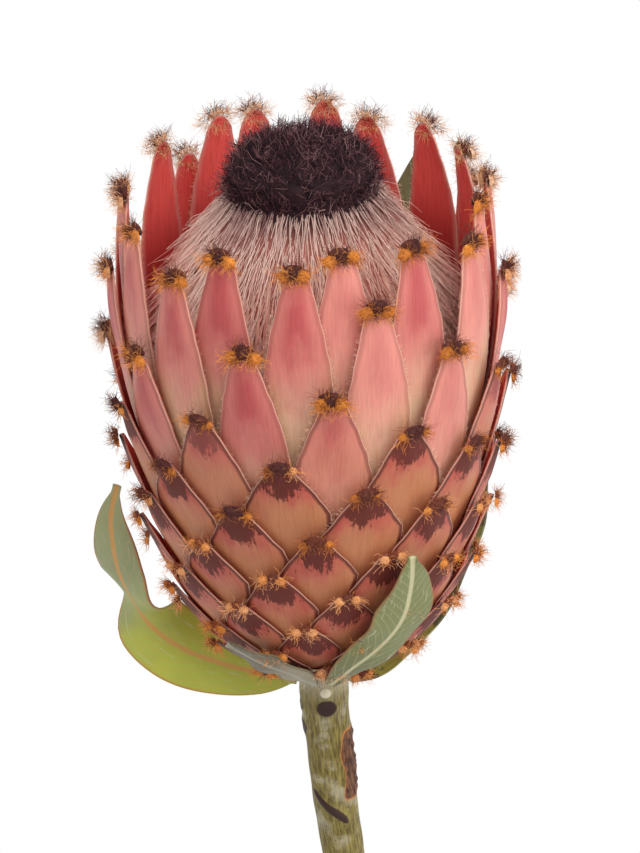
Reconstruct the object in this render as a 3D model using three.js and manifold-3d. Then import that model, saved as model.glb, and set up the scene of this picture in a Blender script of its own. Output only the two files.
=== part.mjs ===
// A cut protea flower lying on its back: a stem that widens into the receptacle, spirals of bracts,
// a dome of florets and six leaves.
// Flower frame: +Z runs from the stem to the tip, -Y is the flower's front, the origin is where the
// head sits on the stem. The last lines lay the flower down. Millimetres and degrees.
import * as THREE from "three";
import { mergeVertices } from "three/addons/utils/BufferGeometryUtils.js";
import Module from "manifold-3d";

const wasm = await Module();
wasm.setup();

// How the flower lies: its own roll about the stem, and how far the tip is raised off the level.
const ROLL = 0;
const TIP_RISE = 8.2;

// Distance from the axis to the surface that the flower lies on, at the height where the belly rests.
const BELLY_HEIGHT = 63;
const BELLY_DEPTH = 47.6;

// Outside of the head, as the radius of the bract surface at a height.
const HEAD_PROFILE = [
  [-1, 6.3], [5, 15], [12, 25.2], [25, 34.8], [41, 41.2], [60, 45.4], [93, 48.3], [113, 46.8], [138, 41.5],
];

// Spiral of the bracts: one turn of DIVERGENCE from each bract to the next, lowest first.
const DIVERGENCE = 99.502;
const SPIRAL_START = 8.7;
const FIRST_BRACT = -36;
const FIRST_LONG_BRACT = 29;
const LAST_BRACT = 78;
const TIP_HEIGHTS = [
  [-36, 8], [-18, 24.5], [0, 40], [36, 78], [47, 94.5], [54, 106], [61, 121], [69, 126.5], [78, 127.5],
];
// The inner bracts at the back of the flower stand taller than those at the front.
const BACK_RISE = 8.5;
const BACK_RISE_FROM = 40;
const BACK_RISE_FULL = 64;

// Bract sizes: a broad scale low down grows into a long narrow blade high up.
const SCALE = { half_width: 11, tip_half_width: 3.6, shoulder: 13 };
const BLADE = { half_width: 8.2, tip_half_width: 3.8, shoulder: 30 };
const BLADE_FROM = 34;
const BLADE_FULL = 60;
const BRACT_THICKNESS = 0.7;
const TUFT_DEPTH = 1.5;
const TUFT_LENGTH = 7;
const RIM_FROM = 106;
const RIM_STEP = 0.42;
const LAYER_STEP_LOW = 0.075;
const LAYER_STEP_HIGH = 0.16;
const FIRST_CLAWED = 8;
const CLAW_ANGLE = 7;
const CLAW_TOP = 48;
const BLADE_ANGLE = 14;
const LONG_BRACT_BASE = 18;
const BRACT_LEVELS = [18, 28, 42, 60, 82, 104];
const BRACT_COLUMNS = 2;

// Cup that joins the basal scales.
const CUP_BOTTOM = 4;
const CUP_TOP = 17.4;
const CUP_DEPTH = 0.7;
const SCALE_BASE = 12;
const SCALE_LENGTH = 16;

// Stem and receptacle.
const STEM_RADIUS = 6;
const STEM_NARROW = 0.012;
const STEM_BEND = 0.0011;
const STEM_LENGTH = 66;
const STEM_CUT_SLANT = 0.35;
const RECEPTACLE = [[3, 6.6], [8, 11.5], [13.5, 16.5], [16, 15.5]];

// Dome of florets, as radius and height.
const FLORET_DOME = [
  [0, 17], [15, 17], [23, 30], [30, 58], [32, 95], [30.5, 108], [24, 120], [18.5, 128], [17.5, 135],
  [11, 140], [0, 141],
];

const LEAF_THICKNESS = 0.8;
const LEAF_COLUMNS = 4;
const LEAF_ROWS = 12;
const HEAD_CLEARANCE = 2.2;

const radians = THREE.MathUtils.degToRad;

// Height or radius read off a list of [at, value] pairs, smoothly.
function along(pairs, at) {
  const last = pairs.length - 1;
  if (at <= pairs[0][0]) return pairs[0][1];
  if (at >= pairs[last][0]) return pairs[last][1];
  const i = pairs.findIndex((pair) => pair[0] > at) - 1;
  const [x0, y0] = pairs[i];
  const [x1, y1] = pairs[i + 1];
  const slope = (y1 - y0) / (x1 - x0);
  const before = i > 0 ? (y0 - pairs[i - 1][1]) / (x0 - pairs[i - 1][0]) : slope;
  const after = i + 1 < last ? (pairs[i + 2][1] - y1) / (pairs[i + 2][0] - x1) : slope;
  const m0 = (before + slope) / 2;
  const m1 = (slope + after) / 2;
  const t = (at - x0) / (x1 - x0);
  const h = x1 - x0;
  return (
    (1 + 2 * t) * (1 - t) ** 2 * y0 + t * (1 - t) ** 2 * h * m0 +
    t * t * (3 - 2 * t) * y1 + t * t * (t - 1) * h * m1
  );
}

// Point at an angle from the front, a distance from the axis and a height.
function polar(angle, distance, height) {
  return new THREE.Vector3(distance * Math.sin(angle), -distance * Math.cos(angle), height);
}

// Closed geometry from vertices and faces, turned so that its faces point out.
function closed(points, faces) {
  let volume = 0;
  for (const [a, b, c] of faces) {
    volume += points[a].dot(points[b].clone().cross(points[c]));
  }
  const turned = volume < 0 ? faces.map(([a, b, c]) => [a, c, b]) : faces;
  const geometry = new THREE.BufferGeometry().setFromPoints(points);
  geometry.setIndex(turned.flat());
  geometry.computeVertexNormals();
  return geometry;
}

// Thin plate between two grids of points of the same size.
function plate(outer, inner) {
  const rows = outer.length;
  const columns = outer[0].length;
  const points = [...outer.flat(), ...inner.flat()];
  const under = rows * columns;
  const faces = [];
  const quad = (a, b, c, d) => faces.push([a, b, c], [a, c, d]);
  for (let i = 0; i + 1 < rows; i++) {
    for (let j = 0; j + 1 < columns; j++) {
      const a = i * columns + j;
      quad(a, a + 1, a + columns + 1, a + columns);
      quad(under + a, under + a + columns, under + a + columns + 1, under + a + 1);
    }
  }
  for (let j = 0; j + 1 < columns; j++) {
    const top = (rows - 1) * columns + j;
    quad(j + 1, j, under + j, under + j + 1);
    quad(top, top + 1, under + top + 1, under + top);
  }
  for (let i = 0; i + 1 < rows; i++) {
    const left = i * columns;
    const right = left + columns - 1;
    quad(left, left + columns, under + left + columns, under + left);
    quad(right + columns, right, under + right, under + right + columns);
  }
  return closed(points, faces);
}

// Solid through a stack of rings, closed by a point at each end.
function stack(rings) {
  const sides = rings[0].length;
  const points = rings.flat();
  const faces = [];
  for (let i = 0; i + 1 < rings.length; i++) {
    for (let j = 0; j < sides; j++) {
      const k = (j + 1) % sides;
      const low = i * sides;
      faces.push([low + j, low + k, low + sides + k], [low + j, low + sides + k, low + sides + j]);
    }
  }
  const middle = (ring) => ring.reduce((sum, p) => sum.add(p), new THREE.Vector3()).divideScalar(sides);
  points.push(middle(rings[0]), middle(rings[rings.length - 1]));
  for (let j = 0; j < sides; j++) {
    const k = (j + 1) % sides;
    const top = (rings.length - 1) * sides;
    faces.push([rings.length * sides, k, j], [rings.length * sides + 1, top + j, top + k]);
  }
  return closed(points, faces);
}

const headRadius = (height) => along(HEAD_PROFILE, height);
const bractAngle = (index) => radians(SPIRAL_START + index * DIVERGENCE);

// Index of the bract whose tip would be at a height. Near the rim the bracts stand side by side instead.
function indexAt(height) {
  const above = Math.max(0, height - RIM_FROM);
  return along(TIP_HEIGHTS.map(([index, tip]) => [tip, index]), height - above) + RIM_STEP * above;
}

function tipHeight(index) {
  const inner = THREE.MathUtils.smoothstep(index, BACK_RISE_FROM, BACK_RISE_FULL);
  const back = (1 - Math.cos(bractAngle(index))) / 2;
  return along(TIP_HEIGHTS, index) + BACK_RISE * inner * back ** 2;
}

// Distance of a bract's outer face from the axis: each bract lies under all those with a lower index.
function layerRadius(index, height) {
  const rise = THREE.MathUtils.smoothstep(height, 14, 42);
  const step = THREE.MathUtils.lerp(LAYER_STEP_LOW, LAYER_STEP_HIGH, rise);
  return headRadius(height) - step * (index - indexAt(height));
}

// Half the width of a bract, a distance below its tip.
function halfWidth(index, belowTip) {
  const blade = THREE.MathUtils.smoothstep(index, BLADE_FROM, BLADE_FULL);
  const mix = (name) => THREE.MathUtils.lerp(SCALE[name], BLADE[name], blade);
  const grown = Math.sin((Math.PI / 2) * Math.min(1, belowTip / mix("shoulder"))) ** 0.9;
  return THREE.MathUtils.lerp(mix("tip_half_width"), mix("half_width"), grown);
}

// One bract, from its base to its tip, with the tuft as a thicker tip.
function bract(index, baseHeight) {
  const tip = tipHeight(index);
  const middle = bractAngle(index);
  const heights = [baseHeight, ...BRACT_LEVELS.filter((z) => z > baseHeight + 3 && z < tip - 11)];
  heights.push(tip - TUFT_LENGTH, tip - 2, tip);
  const outer = [];
  const inner = [];
  for (const height of heights) {
    const radius = layerRadius(index, height);
    const below = tip - height;
    const rounding = below === 0 ? 0.7 : 1;
    const spread = index < FIRST_CLAWED ? 1 : THREE.MathUtils.smoothstep(height, LONG_BRACT_BASE, CLAW_TOP);
    const widest = radians(THREE.MathUtils.lerp(CLAW_ANGLE, BLADE_ANGLE, spread));
    const reach = Math.min(Math.asin(Math.min(0.9, (rounding * halfWidth(index, below)) / radius)), widest);
    const tuft = TUFT_DEPTH * Math.max(0, 1 - below / TUFT_LENGTH);
    const across = [...Array(BRACT_COLUMNS + 1).keys()].map((j) => (2 * j) / BRACT_COLUMNS - 1);
    outer.push(across.map((side) => polar(middle + side * reach, radius + tuft, height)));
    inner.push(across.map((side) => polar(middle + side * reach, radius - BRACT_THICKNESS, height)));
  }
  return plate(outer, inner);
}

// A geometry as a solid for joining, and back.
function solid(geometry) {
  const bare = new THREE.BufferGeometry();
  bare.setAttribute("position", geometry.getAttribute("position"));
  bare.setIndex(geometry.getIndex());
  const merged = mergeVertices(bare, 1e-4);
  return new wasm.Manifold(
    new wasm.Mesh({
      numProp: 3,
      vertProperties: merged.getAttribute("position").array,
      triVerts: new Uint32Array(merged.getIndex().array),
    }),
  );
}

function geometryOf(joined) {
  const mesh = joined.getMesh();
  const geometry = new THREE.BufferGeometry();
  geometry.setAttribute("position", new THREE.BufferAttribute(mesh.vertProperties, 3));
  geometry.setIndex(new THREE.BufferAttribute(mesh.triVerts, 1));
  geometry.computeVertexNormals();
  return geometry;
}

// The cup that the basal scales grow from, open upwards.
function scaleCup() {
  const heights = [CUP_BOTTOM, 7, SCALE_BASE, CUP_TOP];
  const wall = (height, inside) => {
    const depth = inside
      ? headRadius(height) - layerRadius(FIRST_LONG_BRACT - 1, height) + BRACT_THICKNESS
      : CUP_DEPTH;
    return new THREE.Vector2(headRadius(height) - depth, height);
  };
  const outside = heights.map((height) => wall(height, false));
  const inside = heights.map((height) => wall(height, true)).reverse();
  return turned([...outside, ...inside, outside[0].clone()], 36);
}

function basalScales() {
  let joined = solid(scaleCup());
  for (let index = FIRST_BRACT; index < FIRST_LONG_BRACT; index++) {
    const base = Math.max(CUP_BOTTOM + 0.8, Math.min(tipHeight(index) - SCALE_LENGTH, SCALE_BASE));
    joined = joined.add(solid(bract(index, base)));
  }
  // Small closed pockets between the scales and the cup are filled by keeping the outer surface only.
  const bodies = joined.decompose().sort((a, b) => b.volume() - a.volume());
  return geometryOf(bodies[0]);
}

// A profile turned about +Z, with its seam merged.
function turned(profile, sides) {
  const geometry = new THREE.LatheGeometry(profile, sides).rotateX(Math.PI / 2);
  const bare = new THREE.BufferGeometry();
  bare.setAttribute("position", geometry.getAttribute("position"));
  bare.setIndex(geometry.getIndex());
  const merged = mergeVertices(bare, 1e-4);
  const position = merged.getAttribute("position");
  const points = [...Array(position.count).keys()].map((i) => new THREE.Vector3().fromBufferAttribute(position, i));
  const index = merged.getIndex().array;
  const faces = [];
  for (let i = 0; i < index.length; i += 3) {
    const face = [index[i], index[i + 1], index[i + 2]];
    if (new Set(face).size === 3) faces.push(face);
  }
  return closed(points, faces);
}

// The stem, a little bent and cut on the slant, and the receptacle that it grows into.
function stem() {
  const sides = 16;
  const steps = 8;
  const ring = (radius, height, slant) =>
    [...Array(sides).keys()].map((j) => {
      const angle = (2 * Math.PI * j) / sides;
      const lift = slant * radius * Math.cos(angle);
      const below = Math.min(0, height);
      const point = polar(angle, radius, height + lift);
      point.x += STEM_BEND * below * below;
      return point;
    });
  const rings = [];
  for (let i = 0; i <= steps; i++) {
    const height = -STEM_LENGTH * (1 - i / steps);
    rings.push(ring(STEM_RADIUS + STEM_NARROW * height, height, i === 0 ? STEM_CUT_SLANT : 0));
  }
  for (const [height, radius] of RECEPTACLE) rings.push(ring(radius, height, 0));
  return stack(rings);
}

function floretDome() {
  const profile = FLORET_DOME.map(([radius, height]) => new THREE.Vector2(radius, height));
  return turned(profile, 28);
}

// A leaf: spine points with the way its upper face looks there, a half width, and how far it is cupped.
function leaf({ spine, faces, half_width, cup_radius, broadest = 0.45 }) {
  const curve = new THREE.CatmullRomCurve3(spine.map((p) => new THREE.Vector3(...p)));
  const normals = new THREE.CatmullRomCurve3(faces.map((n) => new THREE.Vector3(...n).normalize()));
  const outer = [];
  const inner = [];
  for (let i = 0; i <= LEAF_ROWS; i++) {
    const t = i / LEAF_ROWS;
    const place = curve.getPoint(t);
    const tangent = curve.getTangent(t);
    const normal = normals.getPoint(t);
    normal.addScaledVector(tangent, -normal.dot(tangent)).normalize();
    const across = new THREE.Vector3().crossVectors(tangent, normal);
    const rise = t < broadest ? t / broadest : (1 - t) / (1 - broadest);
    const width = half_width * Math.max(0.12, Math.sin((Math.PI / 2) * rise) ** 0.8);
    const row = [...Array(LEAF_COLUMNS + 1).keys()].map((j) => {
      const side = width * ((2 * j) / LEAF_COLUMNS - 1);
      const sink = (side * side) / (2 * cup_radius);
      return place.clone().addScaledVector(across, side).addScaledVector(normal, -sink);
    });
    outer.push(row);
    inner.push(row.map((p) => p.clone().addScaledVector(normal, -LEAF_THICKNESS)));
  }
  return plate(outer, inner);
}

// Spine points of a leaf that lies against the head, from [angle from the front, clearance, height].
function hugging(steps) {
  const spine = [];
  const faces = [];
  for (let i = 0; i <= LEAF_ROWS; i++) {
    const at = (i / LEAF_ROWS) * (steps.length - 1);
    const [angle, clearance, height] = [0, 1, 2].map((part) =>
      along(steps.map((step, place) => [place, step[part]]), at),
    );
    const distance = headRadius(height) + TUFT_DEPTH + clearance;
    const slope = (headRadius(height + 1) - headRadius(height - 1)) / 2;
    spine.push(polar(radians(angle), distance, height).toArray());
    faces.push(polar(radians(angle), 1, -slope).toArray());
  }
  return { spine, faces };
}

// Spine points of a leaf trapped under the head, from [sideways, lift off the surface, height].
function trapped(steps) {
  const spine = steps.map(([sideways, lift, height]) => {
    const surface = BELLY_DEPTH + Math.tan(radians(TIP_RISE)) * (height - BELLY_HEIGHT);
    return [sideways, surface - lift, height];
  });
  const faces = steps.map(([sideways, lift]) => [(sideways * lift) / 300, 1, -lift / 30]);
  return { spine, faces };
}

const LEAVES = {
  leaf_twisted_left: {
    spine: [[-7, 4, -5], [-15, 6, -4], [-25.5, 8, -1.5], [-35, 9, 2.5], [-43, 9, 9.5], [-47, 8.5, 16.5],
      [-50, 7.5, 25], [-51, 6.5, 33], [-51, 6, 42], [-49, 6, 50]],
    faces: [[-0.1, -1, 0.3], [0, -1, 0.35], [0.1, -1, 0.4], [0.1, -1, 0.4], [-0.4, -1, 0.5], [-1, -0.5, 0.3],
      [-0.8, -1, 0], [-0.5, -1, 0], [-0.3, -1, 0], [-0.2, -1, 0]],
    half_width: 9.5,
    cup_radius: 22,
    broadest: 0.36,
  },
  leaf_front_right: {
    ...hugging([[5, 1.8, 3], [10, HEAD_CLEARANCE, 14], [22, HEAD_CLEARANCE, 23], [28, HEAD_CLEARANCE, 31],
      [29, HEAD_CLEARANCE, 40], [27.5, 3.2, 50.5]]),
    half_width: 6.8,
    cup_radius: 34,
    broadest: 0.6,
  },
  leaf_remnant_left: {
    ...hugging([[-8, 1.8, 3], [-13, HEAD_CLEARANCE, 13], [-25, HEAD_CLEARANCE, 17.5], [-38, 2.6, 23]]),
    half_width: 4.2,
    cup_radius: 26,
    broadest: 0.6,
  },
  leaf_blotched_right: {
    spine: [[6.6, 3.5, -6], [15, 9, -2.5], [25.5, 16, 8], [34, 21, 20], [40, 24, 32], [44, 25, 45]],
    faces: [[0.3, 0.3, -1], [0.4, 0.3, -1], [0.7, 0.5, -0.5], [0.8, 0.5, -0.3], [0.85, 0.5, -0.1],
      [0.85, 0.5, 0.1]],
    half_width: 9,
    cup_radius: 60,
  },
  leaf_back_right: {
    ...trapped([[4, 31, -1], [14, 14.5, 12], [19.5, 4, 29], [22, 0, 43], [23, 0, 62],
      [24.5, 0, 81], [27, 0, 98], [30, 5, 112], [32.5, 11, 124]]),
    half_width: 10.5,
    cup_radius: 70,
  },
  leaf_back_left: {
    ...trapped([[-4, 31, -1], [-14.5, 14.5, 12], [-20, 4, 29], [-22.5, 0, 43], [-23.5, 0, 60],
      [-25, 0, 78], [-27.5, 0, 95], [-31, 5, 107], [-34, 11, 117]]),
    half_width: 10,
    cup_radius: 70,
  },
};

const finish = (color, roughness) => new THREE.MeshStandardMaterial({ color, roughness, metalness: 0 });
const BRACT_FINISH = finish(0xd08a80, 0.6);
const SCALE_FINISH = finish(0xb87868, 0.65);
const FLORET_FINISH = finish(0x6a4550, 0.95);
const STEM_FINISH = finish(0x9aa06a, 0.7);
const LEAF_FINISH = finish(0x8d9a6a, 0.6);

const flower = new THREE.Group();

function add(name, geometry, material) {
  const mesh = new THREE.Mesh(geometry, material);
  mesh.name = name;
  flower.add(mesh);
}

add("stem_and_receptacle", stem(), STEM_FINISH);
add("floret_dome", floretDome(), FLORET_FINISH);
add("basal_scales", basalScales(), SCALE_FINISH);
for (const [name, shape] of Object.entries(LEAVES)) add(name, leaf(shape), LEAF_FINISH);
for (let index = FIRST_LONG_BRACT; index <= LAST_BRACT; index++) {
  const name = "bract_" + String(index - FIRST_LONG_BRACT + 1).padStart(2, "0");
  add(name, bract(index, LONG_BRACT_BASE), BRACT_FINISH);
}

// Lay the flower down, front up and tip towards +Y, with the middle of its box's underside at the origin.
const lying = new THREE.Group();
flower.rotation.z = radians(ROLL);
lying.rotation.x = radians(TIP_RISE - 90);
lying.add(flower);
const part = new THREE.Group();
part.add(lying);
part.updateMatrixWorld(true);
const box = new THREE.Box3().setFromObject(part, true);
const middle = box.getCenter(new THREE.Vector3());
lying.position.set(-middle.x, -middle.y, -box.min.z);

export default part;
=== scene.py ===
"""Looks of a cut protea flower that lies on its back: bracts, florets, wool, leaves and stem."""

import math

import bpy
import numpy as np
from mathutils import Matrix, Vector


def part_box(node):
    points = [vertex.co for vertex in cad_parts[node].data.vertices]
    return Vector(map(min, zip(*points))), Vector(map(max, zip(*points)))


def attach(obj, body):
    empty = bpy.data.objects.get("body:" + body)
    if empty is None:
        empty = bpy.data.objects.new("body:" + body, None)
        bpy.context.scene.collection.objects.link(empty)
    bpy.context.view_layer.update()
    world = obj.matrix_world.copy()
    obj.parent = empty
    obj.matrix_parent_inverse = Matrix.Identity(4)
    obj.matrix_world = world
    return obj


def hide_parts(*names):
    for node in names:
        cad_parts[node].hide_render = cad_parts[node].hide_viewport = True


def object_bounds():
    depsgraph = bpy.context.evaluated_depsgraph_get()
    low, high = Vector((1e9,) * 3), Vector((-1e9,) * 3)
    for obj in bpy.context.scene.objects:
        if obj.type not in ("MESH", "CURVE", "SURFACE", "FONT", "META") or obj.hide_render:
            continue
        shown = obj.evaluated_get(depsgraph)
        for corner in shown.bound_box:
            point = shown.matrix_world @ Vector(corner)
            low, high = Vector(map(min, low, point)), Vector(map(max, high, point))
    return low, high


bl_info = {
    "name": "Protea flower",
    "version": (1, 0, 0),
    "blender": (4, 5, 0),
    "location": "3D View > Sidebar > Protea",
    "description": "Builds the looks of a cut protea flower around its frame",
    "category": "Add Mesh",
}

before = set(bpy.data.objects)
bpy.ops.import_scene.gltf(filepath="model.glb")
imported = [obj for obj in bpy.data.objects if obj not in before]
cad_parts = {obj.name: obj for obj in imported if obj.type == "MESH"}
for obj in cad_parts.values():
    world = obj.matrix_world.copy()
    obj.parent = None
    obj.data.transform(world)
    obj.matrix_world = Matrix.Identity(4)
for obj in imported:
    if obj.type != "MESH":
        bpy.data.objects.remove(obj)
SIZE_AT_LOAD = [list(corner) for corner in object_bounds()]

# Lengths are in millimetres and angles in degrees, in the flower's own frame: +Z from the stem to
# the tip, -Y to the front, +X to the right, with the base of the head at the origin.
TIP_RISE = 8.2
HEAD_PROFILE = (
    (-1, 6.3), (5, 15), (12, 25.2), (25, 34.8), (41, 41.2), (60, 45.4), (93, 48.3), (113, 46.8),
    (138, 41.5),
)
DIVERGENCE = 99.502
SPIRAL_START = 8.7
FIRST_BRACT = -36
FIRST_LONG_BRACT = 29
LAST_BRACT = 78
TIP_HEIGHTS = (
    (-36, 8), (-18, 24.5), (0, 40), (36, 78), (47, 94.5), (54, 106), (61, 121), (69, 126.5), (78, 127.5)
)
BACK_RISE = 8.5
SCALE = {"half_width": 11.0, "tip_half_width": 1.7, "shoulder": 15.0}
BLADE = {"half_width": 8.2, "tip_half_width": 2.7, "shoulder": 32.0}
BLADE_FROM = 34
BLADE_FULL = 60
BRACT_THICKNESS = 0.7
RIM_FROM = 106
RIM_STEP = 0.42
LAYER_STEP_LOW = 0.075
LAYER_STEP_HIGH = 0.16
FIRST_CLAWED = 8
CLAW_ANGLE = 7
CLAW_TOP = 48
BLADE_ANGLE = 14
LONG_BRACT_BASE = 18
SCALE_BASE = 12
SCALE_LENGTH = 16
CUP_BOTTOM = 4
STEM_RADIUS = 6
STEM_NARROW = 0.012
STEM_BEND = 0.0011
STEM_LENGTH = 66
STEM_CUT_SLANT = 0.35
RECEPTACLE = ((3, 6.6), (8, 11.5), (13.5, 16.5), (16, 15.5))
FLORET_DOME = (
    (0, 17), (15, 17), (23, 30), (30, 58), (32, 95), (30.5, 108), (24, 120), (18.5, 128), (17.5, 135), (11, 140),
    (0, 141),
)
BELLY_HEIGHT = 63
BELLY_DEPTH = 47.6

CAMERA_ELEVATION = 24.0
CAMERA_LEAN = 2.47
CAMERA_TARGET_HEIGHT = 66.0


def along(pairs, at):
    """Value read off (at, value) pairs, smoothly, for one number or an array."""
    xs = np.array([pair[0] for pair in pairs], float)
    ys = np.array([pair[1] for pair in pairs], float)
    at = np.clip(np.asarray(at, float), xs[0], xs[-1])
    chords = np.diff(ys) / np.diff(xs)
    slopes = np.concatenate((chords[:1], (chords[1:] + chords[:-1]) / 2, chords[-1:]))
    i = np.clip(np.searchsorted(xs, at, side="right") - 1, 0, len(xs) - 2)
    width = xs[i + 1] - xs[i]
    t = (at - xs[i]) / width
    return (
        (1 + 2 * t) * (1 - t) ** 2 * ys[i]
        + t * (1 - t) ** 2 * width * slopes[i]
        + t * t * (3 - 2 * t) * ys[i + 1]
        + t * t * (t - 1) * width * slopes[i + 1]
    )


def smoothstep(value, low, high):
    """0 below low, 1 above high, smooth between."""
    t = np.clip((np.asarray(value, float) - low) / (high - low), 0, 1)
    return t * t * (3 - 2 * t)


def lerp(a, b, t):
    """The value a share t of the way from a to b."""
    return a + (b - a) * t


def polar(angle, distance, height):
    """Points at an angle from the front, a distance from the axis and a height."""
    angle, distance, height = np.broadcast_arrays(angle, distance, height)
    return np.stack((distance * np.sin(angle), -distance * np.cos(angle), height), -1)


def head_radius(height):
    """Distance of the head's surface from its axis."""
    return along(HEAD_PROFILE, height)


def bract_angle(index):
    """Where on the spiral a bract stands, from the front."""
    return math.radians(SPIRAL_START + index * DIVERGENCE)


def index_at(height):
    """Index of the bract whose tip would be at a height."""
    above = np.maximum(0, np.asarray(height, float) - RIM_FROM)
    return along([(tip, index) for index, tip in TIP_HEIGHTS], height - above) + RIM_STEP * above


def tip_height(index):
    """Height of a bract's tip: the inner ones rise towards the back."""
    inner = smoothstep(index, 40, 64)
    back = (1 - math.cos(bract_angle(index))) / 2
    return float(along(TIP_HEIGHTS, index) + BACK_RISE * inner * back**2)


def layer_radius(index, height):
    """Distance of a bract's outer face from the axis: each lies under all those of a lower index."""
    step = lerp(LAYER_STEP_LOW, LAYER_STEP_HIGH, smoothstep(height, 14, 42))
    return head_radius(height) - step * (index - index_at(height))


def half_width(index, below):
    """Half the width of a bract, a distance below its tip."""
    blade = float(smoothstep(index, BLADE_FROM, BLADE_FULL))
    widest = lerp(SCALE["half_width"], BLADE["half_width"], blade)
    tip = lerp(SCALE["tip_half_width"], BLADE["tip_half_width"], blade)
    shoulder = lerp(SCALE["shoulder"], BLADE["shoulder"], blade)
    share = np.minimum(1, np.maximum(0, below) / shoulder)
    grown = lerp(
        0.72 * share + 0.28 * np.sin(np.pi / 2 * share), np.sin(np.pi / 2 * share) ** 1.12, blade
    )
    return lerp(tip, widest, grown)


def spline(points, at):
    """Centripetal curve through points, and its tangents, at shares of its length."""
    points = np.array(points, float)
    last = len(points) - 1
    padded = np.vstack((2 * points[0] - points[1], points, 2 * points[-1] - points[-2]))

    def place(share):
        s = np.clip(share, 0, 1) * last
        i = np.minimum(s.astype(int), last - 1)
        w = (s - i)[:, None]
        p0, p1, p2, p3 = (padded[i + k] for k in range(4))
        gaps = [np.linalg.norm(b - a, axis=1)[:, None] ** 0.5 for a, b in ((p0, p1), (p1, p2), (p2, p3))]
        d0, d1, d2 = (np.maximum(gap, 1e-4) for gap in gaps)
        m1 = ((p1 - p0) / d0 - (p2 - p0) / (d0 + d1) + (p2 - p1) / d1) * d1
        m2 = ((p2 - p1) / d1 - (p3 - p1) / (d1 + d2) + (p3 - p2) / d2) * d1
        return (
            (2 * w**3 - 3 * w**2 + 1) * p1 + (w**3 - 2 * w**2 + w) * m1
            + (3 * w**2 - 2 * w**3) * p2 + (w**3 - w**2) * m2
        )

    at = np.asarray(at, float)
    ahead = place(np.minimum(1, at + 1e-3))
    behind = place(np.maximum(0, at - 1e-3))
    return place(at), unit(ahead - behind)


def unit(vectors):
    """The vectors at length one."""
    return vectors / np.maximum(np.linalg.norm(vectors, axis=-1, keepdims=True), 1e-9)


# The flower's frame in the row's frame.
PITCH = math.radians(TIP_RISE)
dome_low, dome_high = (np.array(corner) * 1000 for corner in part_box("floret_dome"))
OFFSET = np.array((
    (dome_low[0] + dome_high[0]) / 2,
    dome_high[1] - max(r * math.sin(PITCH) + h * math.cos(PITCH) for r, h in FLORET_DOME),
    dome_high[2] - max(r * math.cos(PITCH) + h * math.sin(PITCH) for r, h in FLORET_DOME),
))
TURN = np.array((
    (1, 0, 0),
    (0, math.sin(PITCH), math.cos(PITCH)),
    (0, -math.cos(PITCH), math.sin(PITCH)),
))


def to_row(points):
    """Flower frame in millimetres to row frame in metres."""
    placed = (np.asarray(points, float) @ TURN.T + OFFSET) / 1000
    placed[..., 2] = np.maximum(placed[..., 2], 0)
    return placed


def turn_to_row(vectors):
    """Directions in the flower's frame as directions in the row frame."""
    return np.asarray(vectors, float) @ TURN.T


def mesh_object(name, points, faces, attributes=None, material=None):
    """A smooth mesh object from row-frame points in metres, with named point attributes."""
    mesh = bpy.data.meshes.new(name)
    mesh.from_pydata(
        np.asarray(points, float).tolist(), [], [tuple(int(i) for i in face) for face in faces]
    )
    mesh.update()
    for key, values in (attributes or {}).items():
        values = np.asarray(values, np.float32)
        if values.ndim == 2:
            mesh.attributes.new(key, "FLOAT_VECTOR", "POINT").data.foreach_set("vector", values.ravel())
        else:
            mesh.attributes.new(key, "FLOAT", "POINT").data.foreach_set("value", values)
    mesh.shade_smooth()
    if material:
        mesh.materials.append(material)
    made = bpy.data.objects.new(name, mesh)
    bpy.context.scene.collection.objects.link(made)
    return made


def plate_faces(rows, columns):
    """Faces of a closed shell of two grids, the outer one first, seen with +row up and +column right."""
    under = rows * columns
    i, j = (
        grid.ravel() for grid in np.meshgrid(np.arange(rows - 1), np.arange(columns - 1), indexing="ij")
    )
    a = i * columns + j
    faces = [np.stack((a, a + 1, a + columns + 1, a + columns), 1)]
    faces.append(np.stack((a, a + columns, a + columns + 1, a + 1), 1) + under)
    j = np.arange(columns - 1)
    top = (rows - 1) * columns + j
    faces.append(np.stack((j + 1, j, under + j, under + j + 1), 1))
    faces.append(np.stack((top, top + 1, under + top + 1, under + top), 1))
    left = np.arange(rows - 1) * columns
    right = left + columns - 1
    faces.append(np.stack((left, left + columns, under + left + columns, under + left), 1))
    faces.append(np.stack((right + columns, right, under + right, under + right + columns), 1))
    return np.vstack(faces)


def faces_out(points, faces):
    """The faces, turned round if they enclose a negative volume."""
    points = np.asarray(points)
    a, b, c = points[faces[:, 0]], points[faces[:, 1]], points[faces[:, 2]]
    volume = np.einsum("ij,ij->i", a, np.cross(b, c)).sum()
    if faces.shape[1] == 4:
        d = points[faces[:, 3]]
        volume += np.einsum("ij,ij->i", a, np.cross(c, d)).sum()
    return faces[:, ::-1] if volume < 0 else faces


def srgb(red, green, blue):
    """A colour given as the screen shows it, as a linear colour."""
    channels = [c / 255 for c in (red, green, blue)]
    return tuple(c / 12.92 if c <= 0.04045 else ((c + 0.055) / 1.055) ** 2.4 for c in channels) + (1.0,)


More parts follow.
